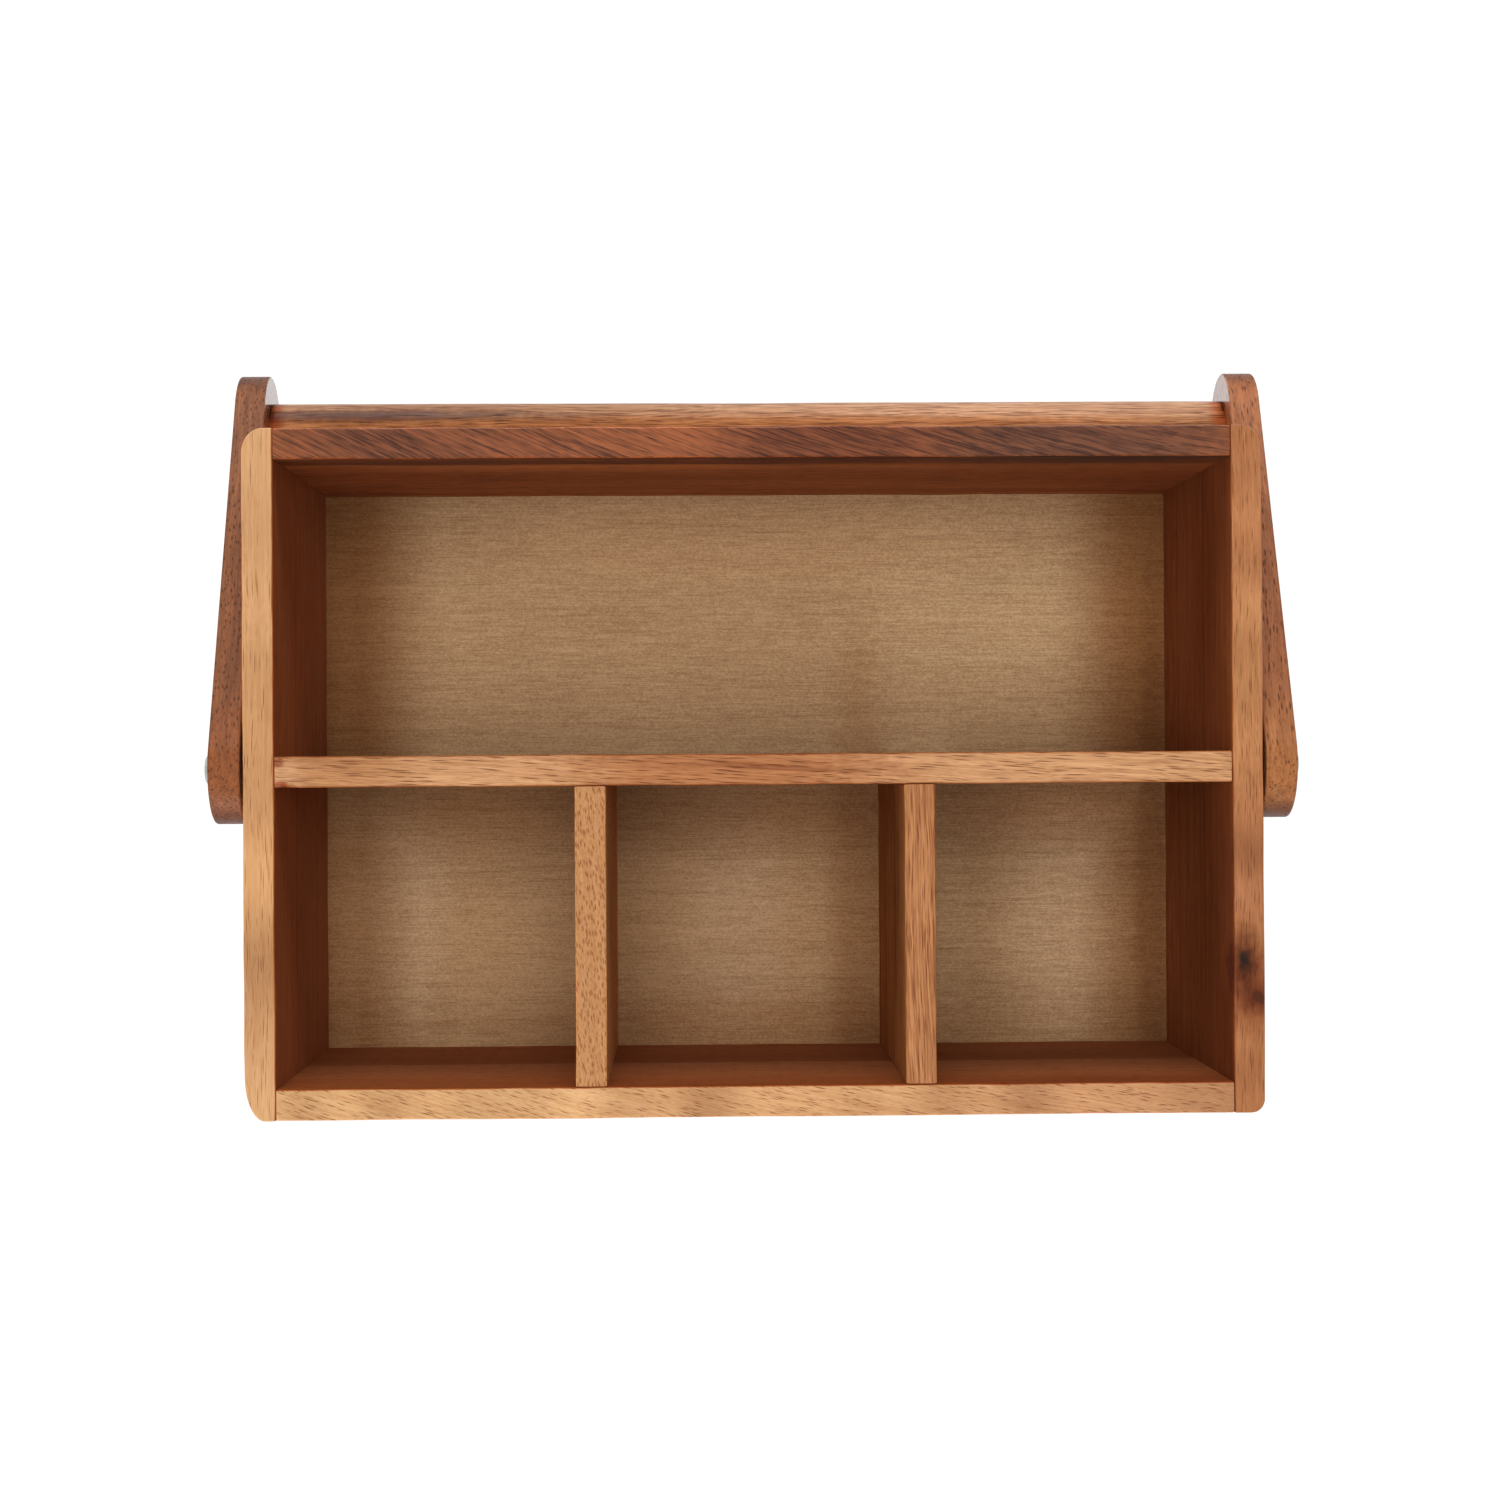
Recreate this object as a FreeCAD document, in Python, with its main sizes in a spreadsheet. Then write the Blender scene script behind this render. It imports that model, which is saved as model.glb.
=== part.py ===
import FreeCAD, Part
import math
import os
import re
import Sketcher

# Wooden tool tote with a drawer. X runs across it, +Y towards its back, Z up.
# The origin is the middle of the case's footprint, on the surface it stands on.

sizes = {
    # case of thin boards: two sides run full depth, front and back stand between them
    "case_width": 304.0,
    "case_depth": 205.6,
    "board_thick": 9.5,
    "tray_depth": 113.0,
    "floor_thick": 5.0,
    "floor_bite": 4.0,
    "front_lip": 5.0,
    "drawer_opening": 46.0,
    "bottom_thick": 6.0,
    "rabbet_depth": 4.75,
    "bottom_setback": 0.5,
    "corner_round": 6.5,
    "worn_corner_round": 4.0,
    "edge_ease": 0.5,
    "divider_shift": 0.7,
    # clearances of glued joints: round pegs and thin panels, then a panel's edge in its groove
    "peg_gap": 0.05,
    "groove_gap": 0.3,
    # dowels of the case joints
    "dowel_radius": 2.5,
    "dowel_in_face": 6.5,
    "dowel_in_end": 15.0,
    "dowel_margin": 16.0,
    # brads that hold the bottom panel
    "brad_radius": 0.8,
    "brad_length": 18.0,
    "brad_head_radius": 1.4,
    "brad_head_thick": 0.8,
    "brad_margin": 24.0,
    # handle: two round-ended arms outside the case and a round bar between their ends,
    # folded back until the bar rests behind the case, this far below the pivots
    "bar_drop": 49.4,
    "arm_half_width": 16.5,
    "arm_thick": 9.5,
    "arm_ease": 0.7,
    "bar_radius": 7.75,
    "bar_rest_gap": 0.3,
    "pivot_drop": 16.5,
    "pivot_shift": 1.5,
    # pivot screws and their washers
    "shank_radius": 3.0,
    "arm_bore_gap": 0.08,
    "thread_radius": 2.25,
    "thread_length": 26.0,
    "thread_tip": 3.0,
    "pan_radius": 4.75,
    "pan_height": 2.3,
    "pan_round": 1.5,
    "washer_radius": 7.0,
    "washer_thick": 0.8,
    "washer_run_gap": 0.05,
    # cross recess of every screw head
    "recess_reach": 5.0,
    "recess_wide": 1.1,
    "recess_deep": 1.3,
    # flat head screws from the arms into the bar
    "bar_screw_radius": 2.1,
    "bar_screw_length": 34.0,
    "bar_screw_tip": 3.0,
    "flat_head_radius": 4.2,
    "flat_head_cone": 2.8,
    "flat_head_sink": 0.2,
    # drawer box under the tray
    "drawer_gap": 1.0,
    "drawer_rub_gap": 0.2,
    "drawer_back_gap": 0.8,
    "drawer_board": 8.0,
    "drawer_height": 43.5,
    "drawer_foot": 5.0,
    "drawer_panel": 3.0,
    "drawer_bite": 3.5,
    "drawer_dowel_radius": 2.0,
    "drawer_dowel_in_face": 5.5,
    "drawer_dowel_in_end": 12.0,
    "drawer_dowel_margin": 12.0,
    # turned knob and the screw behind it
    "knob_height": 17.0,
    "knob_radius": 12.0,
    "knob_foot_radius": 8.0,
    "knob_foot_thick": 2.0,
    "knob_neck_radius": 5.5,
    "knob_neck_end": 7.0,
    "knob_face_round": 5.0,
    "knob_back_round": 2.5,
    "knob_screw_radius": 2.0,
    "knob_screw_reach": 11.0,
    "knob_screw_tip": 1.0,
    "knob_head_radius": 4.0,
    "knob_head_height": 2.6,
    "knob_head_round": 1.2,
    "knob_washer_radius": 5.5,
}

# places worked out from the sizes
half_x = "case_width / 2"
half_y = "case_depth / 2"
inner_x = "(case_width / 2 - board_thick)"
inner_y = "(case_depth / 2 - board_thick)"
lip_low = "(bottom_thick + drawer_opening)"
floor_low = f"({lip_low} + front_lip)"
floor_top = f"({floor_low} + floor_thick)"
rim = f"({floor_top} + tray_depth)"
divider_front = "(divider_shift - board_thick / 2)"
divider_back = "(divider_shift + board_thick / 2)"
cross_middle = f"({inner_x} / 3 + board_thick / 6)"
tray_pegs = {
    "low": f"{floor_top} + dowel_margin",
    "middle": f"{floor_top} + tray_depth / 2",
    "high": f"{rim} - dowel_margin",
}
pivot_z = f"({rim} - pivot_drop)"
arm_inner = f"({half_x} + washer_thick + washer_run_gap)"
arm_outer = f"({arm_inner} + arm_thick)"
bar_reach = f"({half_y} - pivot_shift + bar_radius + bar_rest_gap)"
bar_y = f"(pivot_shift + {bar_reach})"
bar_z = f"({pivot_z} - bar_drop)"
drawer_half = f"({inner_x} - drawer_gap)"
drawer_inner = f"({drawer_half} - drawer_board)"
drawer_low = "(bottom_thick + drawer_rub_gap)"
drawer_top = f"({drawer_low} + drawer_height)"
drawer_rear = f"({inner_y} - drawer_back_gap)"
drawer_rear_inner = f"({drawer_rear} - drawer_board)"
knob_z = "(bottom_thick + drawer_opening / 2)"

sides = {"left": -1, "right": 1}
touch = 1e-4        # how close two places are to count as the same
word = re.compile(r"[a-z]+(?:_[a-z]+)*")
along_x = FreeCAD.Rotation(FreeCAD.Vector(0, 1, 0), 90)
against_x = FreeCAD.Rotation(FreeCAD.Vector(0, 1, 0), -90)
along_y = FreeCAD.Rotation(FreeCAD.Vector(1, 0, 0), -90)
against_y = FreeCAD.Rotation(FreeCAD.Vector(1, 0, 0), 90)
along_z = FreeCAD.Rotation()

doc = FreeCAD.newDocument("tool_tote")
sheet = doc.addObject("Spreadsheet::Sheet", "dims")
nodes = []


def fill_sheet():
    for row, (name, number) in enumerate(sizes.items(), 1):
        sheet.set(f"A{row}", name)
        sheet.set(f"B{row}", str(number))
        sheet.setAlias(f"B{row}", name)
    doc.recompute()


def formula(text):
    """The text with every size in it written as a cell of the sheet."""
    return word.sub(lambda found: "dims." * (found.group() in sizes) + found.group(), text)


def value(text):
    return float(sheet.evalExpression(text))


def bind(thing, **formulas):
    for name, text in formulas.items():
        thing.setExpression(name, formula(text))


def put(thing, x, y, z):
    for letter, text in zip("xyz", (x, y, z)):
        thing.setExpression(f"Placement.Base.{letter}", formula(text))


def keep(thing):
    nodes.append(thing)
    return thing


def mirrored(side, near, far):
    """A span from near to far on the right, and the same span mirrored on the left."""
    return (near, far) if sides[side] > 0 else (f"-({far})", f"-({near})")


def both(half):
    return (f"-({half})", half)


def block(name, x, y, z):
    """A box that fills three spans."""
    box = doc.addObject("Part::Box", name)
    bind(box, Length=f"({x[1]}) - ({x[0]})", Width=f"({y[1]}) - ({y[0]})", Height=f"({z[1]}) - ({z[0]})")
    put(box, x[0], y[0], z[0])
    return box


def peg(name, radius, x, y, z, gap="0"):
    """A cylinder along the one direction given as a span, and larger all round by the gap."""
    places = [x, y, z]
    axis = [type(place) is tuple for place in places].index(True)
    low, high = places[axis]
    places[axis] = f"{low} - {gap}"
    cylinder = doc.addObject("Part::Cylinder", name)
    cylinder.Placement = FreeCAD.Placement(FreeCAD.Vector(), (along_x, along_y, along_z)[axis])
    bind(cylinder, Radius=f"{radius} + {gap}", Height=f"({high}) - ({low}) + 2 * {gap}")
    put(cylinder, *places)
    return cylinder


def group(name, things):
    compound = doc.addObject("Part::Compound", name)
    compound.Links = things
    return compound


def cut(name, base, tools):
    result = doc.addObject("Part::Cut", name)
    result.Base = base
    result.Tool = group(f"{name}_cuts", tools)
    return result


def rounded(name, base, rounds):
    """The base with the edges that each test picks rounded to the size named beside it."""
    doc.recompute()
    picked = []
    for number, edge in enumerate(base.Shape.Edges, 1):
        for test, radius in rounds:
            if test(edge):
                picked.append((number, value(radius), value(radius)))
    fillet = doc.addObject("Part::Fillet", name)
    fillet.Base = base
    fillet.Edges = picked
    return fillet


def ends_at(letter, text):
    """A test for edges that lie in one plane across the given axis."""
    place = value(text)
    return lambda edge: all(abs(getattr(end.Point, letter) - place) < touch for end in edge.Vertexes)


def board(name, x, y, z, eased, tools):
    """A board with one face's edges eased and its grooves and holes cut."""
    blank = block(f"{name}_blank", x, y, z)
    return keep(cut(name, rounded(f"{name}_eased", blank, [(ends_at(*eased), "edge_ease")]), tools))


def origin_plane(body, role):
    return next(feature for feature in body.Origin.OriginFeatures if feature.Role == role)


def place_point(sketch, geometry, end, x, y):
    """Ties a point of a sketch to two formulas, or to an axis where one is zero."""
    for kind, text, axis in (("DistanceX", x, -2), ("DistanceY", y, -1)):
        if text == "0":
            sketch.addConstraint(Sketcher.Constraint("PointOnObject", geometry, end, axis))
        else:
            index = sketch.addConstraint(Sketcher.Constraint(kind, -1, 1, geometry, end, value(text)))
            sketch.setExpression(f"Constraints[{index}]", formula(text))


def turned(name, points, turn, x, y, z):
    """A turned body. Its profile is a closed line of (radius, height) points round its own Z axis."""
    body = doc.addObject("PartDesign::Body", name)
    profile = body.newObject("Sketcher::SketchObject", f"{name}_profile")
    profile.AttachmentSupport = [(origin_plane(body, "XZ_Plane"), "")]
    profile.MapMode = "FlatFace"
    corners = [FreeCAD.Vector(value(radius), value(height), 0) for radius, height in points]
    for start, end in zip(corners, corners[1:] + corners[:1]):
        profile.addGeometry(Part.LineSegment(start, end), False)
    for number, (radius, height) in enumerate(points):
        following = (number + 1) % len(points)
        profile.addConstraint(Sketcher.Constraint("Coincident", number, 2, following, 1))
        place_point(profile, number, 1, radius, height)
    turning = body.newObject("PartDesign::Revolution", f"{name}_turning")
    turning.Profile = profile
    turning.ReferenceAxis = (profile, ["V_Axis"])
    turning.Angle = 360
    body.Placement = FreeCAD.Placement(FreeCAD.Vector(), turn)
    put(body, x, y, z)
    doc.recompute()
    return body


def soften(body, radius_place, height_place, size):
    """Rounds the circle of a turned body that has the given radius and height."""
    base = body.Tip
    names = []
    for number, edge in enumerate(base.Shape.Edges, 1):
        ring = type(edge.Curve) is Part.Circle and abs(edge.Curve.Radius - value(radius_place)) < touch
        if ring and abs(edge.Curve.Center.z - value(height_place)) < touch:
            names.append(f"Edge{number}")
    fillet = body.newObject("PartDesign::Fillet", f"{body.Name}_round")
    fillet.Base = (base, names)
    bind(fillet, Radius=size)
    doc.recompute()


def cross_recess(body, top):
    arms = [("recess_reach", "recess_wide"), ("recess_wide", "recess_reach")]
    for number, (length, width) in enumerate(arms):
        slot = body.newObject("PartDesign::SubtractiveBox", f"{body.Name}_recess_{number}")
        bind(slot, Length=length, Width=width, Height="recess_deep")
        put(slot, f"-{length} / 2", f"-{width} / 2", f"{top} - recess_deep")
    doc.recompute()


def ring(name, outer, inner, x, y, z):
    washer = cut(name, peg(f"{name}_blank", outer, x, y, z), [peg(f"{name}_hole", inner, x, y, z, "peg_gap")])
    return keep(washer)


# Case joints: each peg is listed once, for itself and for its hole in both boards.

def corner_pegs(side):
    """Pegs from a side board into the ends of the front and back boards."""
    x = mirrored(side, f"{inner_x} - dowel_in_end", f"{inner_x} + dowel_in_face")
    pegs = {}
    for end, y in (("front", f"-({half_y} - board_thick / 2)"), ("back", f"{half_y} - board_thick / 2")):
        heights = dict(tray_pegs)
        if end == "back":
            heights["drawer"] = knob_z
        for height, z in heights.items():
            pegs[f"{side}_{end}_{height}"] = (x, y, z)
    return pegs


def long_divider_pegs(side):
    x = mirrored(side, f"{inner_x} - dowel_in_end", f"{inner_x} + dowel_in_face")
    heights = ("low", "middle")
    return {f"{side}_divider_{height}": (x, "divider_shift", tray_pegs[height]) for height in heights}


def cross_pegs(side, end):
    x = f"{sides[side]} * {cross_middle}"
    spans = {
        "front": (f"-{inner_y} - dowel_in_face", f"-{inner_y} + dowel_in_end"),
        "rear": (f"{divider_front} - dowel_in_end", f"{divider_front} + dowel_in_face"),
    }
    return {f"{side}_cross_{end}_{height}": (x, spans[end], tray_pegs[height]) for height in ("low", "high")}


def dowels(name, radius, pegs):
    keep(group(name, [peg(f"{place}_dowel", radius, *spot) for place, spot in pegs.items()]))


def holes(radius, pegs):
    return {place: peg(f"{place}_hole", radius, *spot, "peg_gap") for place, spot in pegs.items()}


def chosen(found, *words):
    return [hole for place, hole in found.items() if all(piece in place for piece in words)]


def brad(name, x, y, gap):
    shank = peg(f"{name}_shank", "brad_radius", x, y, ("0", "brad_length"), gap)
    head = peg(f"{name}_head", "brad_head_radius", x, y, ("0", "brad_head_thick"), gap)
    whole = doc.addObject("Part::Fuse", name)
    whole.Base = shank
    whole.Tool = head
    return whole


def brad_places():
    edge_x = f"({inner_x} + rabbet_depth / 2)"
    places = {}
    for side, sign in sides.items():
        places[f"{side}_front"] = (f"{sign} * {edge_x}", f"brad_margin - {half_y}")
        places[f"{side}_middle"] = (f"{sign} * {edge_x}", "0")
        places[f"{side}_rear"] = (f"{sign} * {edge_x}", f"{half_y} - brad_margin")
        places[f"back_{side}"] = (f"{sign} * {half_x} / 2", f"{inner_y} + rabbet_depth / 2")
    places["back_centre"] = ("0", f"{inner_y} + rabbet_depth / 2")
    return places


def make_case():
    pegs = {}
    divider_pegs = {}
    for side in sides:
        pegs.update(corner_pegs(side))
        divider_pegs.update(long_divider_pegs(side))
        divider_pegs.update(cross_pegs(side, "front"))
        divider_pegs.update(cross_pegs(side, "rear"))
    dowels("corner_dowels", "dowel_radius", pegs)
    dowels("divider_dowels", "dowel_radius", divider_pegs)
    peg_holes = holes("dowel_radius", pegs | divider_pegs)
    places = brad_places()
    keep(group("bottom_brads", [brad(f"{place}_brad", x, y, "0") for place, (x, y) in places.items()]))
    brad_holes = {place: brad(f"{place}_brad_hole", x, y, "peg_gap") for place, (x, y) in places.items()}
    pilots = {side: peg(f"{side}_pivot_pilot", "thread_radius",
                        mirrored(side, f"{inner_x} - thread_length", inner_x),
                        "pivot_shift", pivot_z, "peg_gap") for side in sides}

    floor_x = f"{inner_x} + floor_bite"
    floor_y = f"{inner_y} + floor_bite"
    floor_groove = block("floor_groove", both(f"{floor_x} + groove_gap"), both(f"{floor_y} + groove_gap"),
                         (f"{floor_low} - peg_gap", f"{floor_top} + peg_gap"))
    keep(block("tray_floor", both(floor_x), both(floor_y), (floor_low, floor_top)))

    bottom_rear = f"{inner_y} + rabbet_depth"
    bottom_rabbet = block("bottom_rabbet", both(f"{inner_x} + rabbet_depth"), (f"-{half_y}", bottom_rear),
                          ("0", "bottom_thick"))
    panel = block("case_bottom_blank", both(f"{inner_x} + rabbet_depth - peg_gap"),
                  (f"bottom_setback - {half_y}", f"{bottom_rear} - peg_gap"), ("0", "bottom_thick"))
    keep(cut("case_bottom", panel, list(brad_holes.values())))

    for side in sides:
        name = f"{side}_side_board"
        blank = block(f"{name}_blank", mirrored(side, inner_x, half_x), both(half_y), ("0", rim))
        upright = ends_at("x", f"{sides[side]} * {half_x}")
        front = ends_at("y", f"-{half_y}")
        back = ends_at("y", half_y)
        front_round = "worn_corner_round" if side == "right" else "corner_round"
        shaped = rounded(f"{name}_corners", blank, [
            (lambda edge: upright(edge) and front(edge), front_round),
            (lambda edge: upright(edge) and back(edge), "corner_round")])
        eased = rounded(f"{name}_eased", shaped, [(ends_at("z", rim), "edge_ease")])
        bore = peg(f"{side}_pivot_bore", "shank_radius", mirrored(side, inner_x, half_x),
                   "pivot_shift", pivot_z, "peg_gap")
        pegged = chosen(peg_holes, f"{side}_front") + chosen(peg_holes, f"{side}_back")
        pegged += chosen(peg_holes, f"{side}_divider")
        keep(cut(name, eased, [floor_groove, bottom_rabbet, bore] + pegged + chosen(brad_holes, f"{side}_")))

    board("front_board", both(inner_x), (f"-{half_y}", f"-{inner_y}"), (lip_low, rim), ("z", rim),
          [floor_groove] + chosen(peg_holes, "_front"))
    board("back_board", both(inner_x), (inner_y, half_y), ("0", rim), ("z", rim),
          [floor_groove, bottom_rabbet] + chosen(peg_holes, "_back_") + chosen(brad_holes, "back_"))
    board("long_divider", both(inner_x), (divider_front, divider_back), (floor_top, rim), ("z", rim),
          list(pilots.values()) + chosen(peg_holes, "_divider_") + chosen(peg_holes, "_cross_rear"))
    for side, sign in sides.items():
        middle = f"{sign} * {cross_middle}"
        board(f"{side}_cross_divider", (f"{middle} - board_thick / 2", f"{middle} + board_thick / 2"),
              (f"-{inner_y}", divider_front), (floor_top, rim), ("z", rim),
              chosen(peg_holes, f"{side}_cross"))


def make_pivots():
    """The screw each arm swings on, with a washer inside the arm and one under the screw's head."""
    outer_washer = f"({arm_outer} + washer_run_gap)"
    head_seat = f"({outer_washer} + washer_thick)"
    shank_end = f"-({head_seat} - {inner_x})"
    tip = f"({shank_end} - thread_length)"
    profile = [("0", tip), ("thread_radius", f"{tip} + thread_tip"), ("thread_radius", shank_end),
               ("shank_radius", shank_end), ("shank_radius", "0"), ("pan_radius", "0"),
               ("pan_radius", "pan_height"), ("0", "pan_height")]
    for side, sign in sides.items():
        ring(f"{side}_spacer_washer", "washer_radius", "shank_radius",
             mirrored(side, half_x, f"{half_x} + washer_thick"), "pivot_shift", pivot_z)
        ring(f"{side}_head_washer", "washer_radius", "shank_radius",
             mirrored(side, outer_washer, head_seat), "pivot_shift", pivot_z)
        screw = turned(f"{side}_pivot_screw", profile, along_x if sign > 0 else against_x,
                       f"{sign} * {head_seat}", "pivot_shift", pivot_z)
        soften(screw, "pan_radius", "pan_height", "pan_round")
        cross_recess(screw, "pan_height")
        keep(screw)


def arm_plate(name, inner_face):
    """A round-ended plate from the pivot to the bar, drawn in the plane of its inner face."""
    body = doc.addObject("PartDesign::Body", name)
    outline = body.newObject("Sketcher::SketchObject", f"{name}_outline")
    outline.AttachmentSupport = [(origin_plane(body, "YZ_Plane"), "")]
    outline.MapMode = "FlatFace"
    outline.setExpression("AttachmentOffset.Base.z", formula(inner_face))
    pivot = FreeCAD.Vector(value("pivot_shift"), value(pivot_z), 0)
    bar = FreeCAD.Vector(value(bar_y), value(bar_z), 0)
    normal = FreeCAD.Vector(0, 0, 1)
    across = normal.cross(bar - pivot).normalize() * value("arm_half_width")
    start = math.atan2(across.y, across.x)
    half_turn = math.pi
    ends = [Part.Circle(centre, normal, value("arm_half_width")) for centre in (pivot, bar)]
    outline.addGeometry(Part.ArcOfCircle(ends[0], start, start + half_turn), False)
    outline.addGeometry(Part.LineSegment(pivot - across, bar - across), False)
    outline.addGeometry(Part.ArcOfCircle(ends[1], start + half_turn, start + 2 * half_turn), False)
    outline.addGeometry(Part.LineSegment(bar + across, pivot + across), False)
    for number in range(4):
        outline.addConstraint(Sketcher.Constraint("Tangent", number, 2, (number + 1) % 4, 1))
    outline.addConstraint(Sketcher.Constraint("Equal", 0, 2))
    index = outline.addConstraint(Sketcher.Constraint("Radius", 0, value("arm_half_width")))
    outline.setExpression(f"Constraints[{index}]", formula("arm_half_width"))
    place_point(outline, 0, 3, "pivot_shift", pivot_z)
    place_point(outline, 2, 3, bar_y, bar_z)
    plate = body.newObject("PartDesign::Pad", f"{name}_plate")
    plate.Profile = outline
    bind(plate, Length="arm_thick")
    doc.recompute()
    rims = [f"Edge{number}" for number, edge in enumerate(plate.Shape.Edges, 1)
            if abs(edge.Vertexes[0].X - edge.Vertexes[-1].X) < touch]
    easing = body.newObject("PartDesign::Fillet", f"{name}_easing")
    easing.Base = (plate, rims)
    bind(easing, Radius="arm_ease")
    doc.recompute()
    return body


def make_handle():
    head_top = f"({arm_outer} - flat_head_sink)"
    cone_low = f"({head_top} - flat_head_cone)"
    pilot_low = f"({head_top} - bar_screw_length)"
    profile = [("0", "-bar_screw_length"), ("bar_screw_radius", "bar_screw_tip - bar_screw_length"),
               ("bar_screw_radius", "-flat_head_cone"), ("flat_head_radius", "0"), ("0", "0")]
    pilots = []
    for side, sign in sides.items():
        inner_face = arm_inner if sign > 0 else f"-{arm_outer}"
        plate = arm_plate(f"{side}_arm_blank", inner_face)
        bore = peg(f"{side}_arm_bore", "shank_radius", mirrored(side, arm_inner, arm_outer),
                   "pivot_shift", pivot_z, "arm_bore_gap")
        shank = peg(f"{side}_bar_screw_hole", "bar_screw_radius", mirrored(side, pilot_low, cone_low),
                    bar_y, bar_z, "peg_gap")
        well = peg(f"{side}_bar_screw_well", "flat_head_radius", mirrored(side, head_top, arm_outer),
                   bar_y, bar_z, "peg_gap")
        sink = doc.addObject("Part::Cone", f"{side}_countersink")
        sink.Placement = FreeCAD.Placement(FreeCAD.Vector(), along_x if sign > 0 else against_x)
        bind(sink, Radius1="bar_screw_radius + peg_gap", Radius2="flat_head_radius + peg_gap",
             Height="flat_head_cone")
        put(sink, f"{sign} * {cone_low}", bar_y, bar_z)
        seat = doc.addObject("Part::MultiFuse", f"{side}_bar_screw_seat")
        seat.Shapes = [shank, sink, well]
        keep(cut(f"{side}_arm", plate, [bore, seat]))
        screw = turned(f"{side}_bar_screw", profile, along_x if sign > 0 else against_x,
                       f"{sign} * {head_top}", bar_y, bar_z)
        cross_recess(screw, "0")
        keep(screw)
        pilots.append(shank)
    keep(cut("grip_bar", peg("grip_bar_blank", "bar_radius", both(arm_inner), bar_y, bar_z), pilots))


def drawer_pegs(side):
    heights = {"low": f"{drawer_low} + drawer_dowel_margin", "high": f"{drawer_top} - drawer_dowel_margin"}
    side_x = f"{sides[side]} * ({drawer_half} - drawer_board / 2)"
    front_y = (f"-{inner_y} - drawer_dowel_in_face", f"-{inner_y} + drawer_dowel_in_end")
    rear_x = mirrored(side, f"{drawer_inner} - drawer_dowel_in_end", f"{drawer_inner} + drawer_dowel_in_face")
    pegs = {}
    for height, z in heights.items():
        pegs[f"{side}_drawer_front_{height}"] = (side_x, front_y, z)
        pegs[f"{side}_drawer_rear_{height}"] = (rear_x, f"{drawer_rear} - drawer_board / 2", z)
    return pegs


def make_drawer():
    pegs = drawer_pegs("left") | drawer_pegs("right")
    dowels("drawer_dowels", "drawer_dowel_radius", pegs)
    peg_holes = holes("drawer_dowel_radius", pegs)

    panel_x = f"{drawer_inner} + drawer_bite"
    panel_y = (f"-{inner_y} - drawer_bite", f"{drawer_rear_inner} + drawer_bite")
    panel_low = f"({drawer_low} + drawer_foot)"
    panel_top = f"({panel_low} + drawer_panel)"
    groove = block("drawer_groove", both(f"{panel_x} + groove_gap"),
                   (f"{panel_y[0]} - groove_gap", f"{panel_y[1]} + groove_gap"),
                   (f"{panel_low} - peg_gap", f"{panel_top} + peg_gap"))
    keep(block("drawer_bottom", both(panel_x), panel_y, (panel_low, panel_top)))

    front_y = (f"-{half_y}", f"-{inner_y}")
    screw_hole = peg("knob_screw_hole", "knob_screw_radius", "0", front_y, knob_z, "peg_gap")
    board("drawer_front", both(drawer_half), front_y,
          ("bottom_thick + drawer_gap", f"{lip_low} - drawer_gap"), ("y", f"-{half_y}"),
          [groove, screw_hole] + chosen(peg_holes, "front"))
    for side in sides:
        board(f"drawer_{side}_side", mirrored(side, drawer_inner, drawer_half), (f"-{inner_y}", drawer_rear),
              (drawer_low, drawer_top), ("z", drawer_top), [groove] + chosen(peg_holes, f"{side}_"))
    board("drawer_back", both(drawer_inner), (drawer_rear_inner, drawer_rear), (drawer_low, drawer_top),
          ("z", drawer_top), [groove] + chosen(peg_holes, "rear"))


def make_knob():
    knob_bore = "(knob_screw_radius + peg_gap)"
    bore_end = "(knob_screw_reach + peg_gap)"
    profile = [(knob_bore, "0"), ("knob_foot_radius", "0"), ("knob_foot_radius", "knob_foot_thick"),
               ("knob_neck_radius", "knob_foot_thick"), ("knob_neck_radius", "knob_neck_end"),
               ("knob_radius", "knob_neck_end"), ("knob_radius", "knob_height"), ("0", "knob_height"),
               ("0", bore_end), (knob_bore, bore_end)]
    knob = turned("drawer_knob", profile, against_y, "0", f"-{half_y}", knob_z)
    soften(knob, "knob_radius", "knob_height", "knob_face_round")
    soften(knob, "knob_radius", "knob_neck_end", "knob_back_round")
    keep(knob)
    ring("knob_screw_washer", "knob_washer_radius", "knob_screw_radius",
         "0", (f"-{inner_y}", f"washer_thick - {inner_y}"), knob_z)
    tip = "(-(washer_thick + board_thick + knob_screw_reach))"
    screw_profile = [("0", tip), ("knob_screw_radius - knob_screw_tip", tip),
                     ("knob_screw_radius", f"{tip} + knob_screw_tip"), ("knob_screw_radius", "0"),
                     ("knob_head_radius", "0"), ("knob_head_radius", "knob_head_height"),
                     ("0", "knob_head_height")]
    screw = turned("knob_screw", screw_profile, along_y, "0", f"washer_thick - {inner_y}", knob_z)
    soften(screw, "knob_head_radius", "knob_head_height", "knob_head_round")
    cross_recess(screw, "knob_head_height")
    keep(screw)


def check():
    doc.recompute()
    failed = [thing.Label for thing in doc.Objects if {"Invalid", "Error"} & set(thing.State)]
    if failed:
        raise RuntimeError(f"objects that failed: {failed}")
    for node in nodes:
        if node.Shape.isNull() or not node.Shape.isValid() or not node.Shape.Solids:
            raise RuntimeError(f"{node.Label} has no valid shape")


def export():
    os.makedirs("parts", exist_ok=True)
    for node in nodes:
        node.Shape.exportStep(f"parts/{node.Label}.step")
        print(f"{node.Label}: {len(node.Shape.Solids)} solids, {node.Shape.Volume:.0f} mm3")


fill_sheet()
make_case()
make_pivots()
make_handle()
make_drawer()
make_knob()
check()
export()
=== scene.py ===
import bpy
import math
import numpy as np
from mathutils import Matrix, Vector


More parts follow.
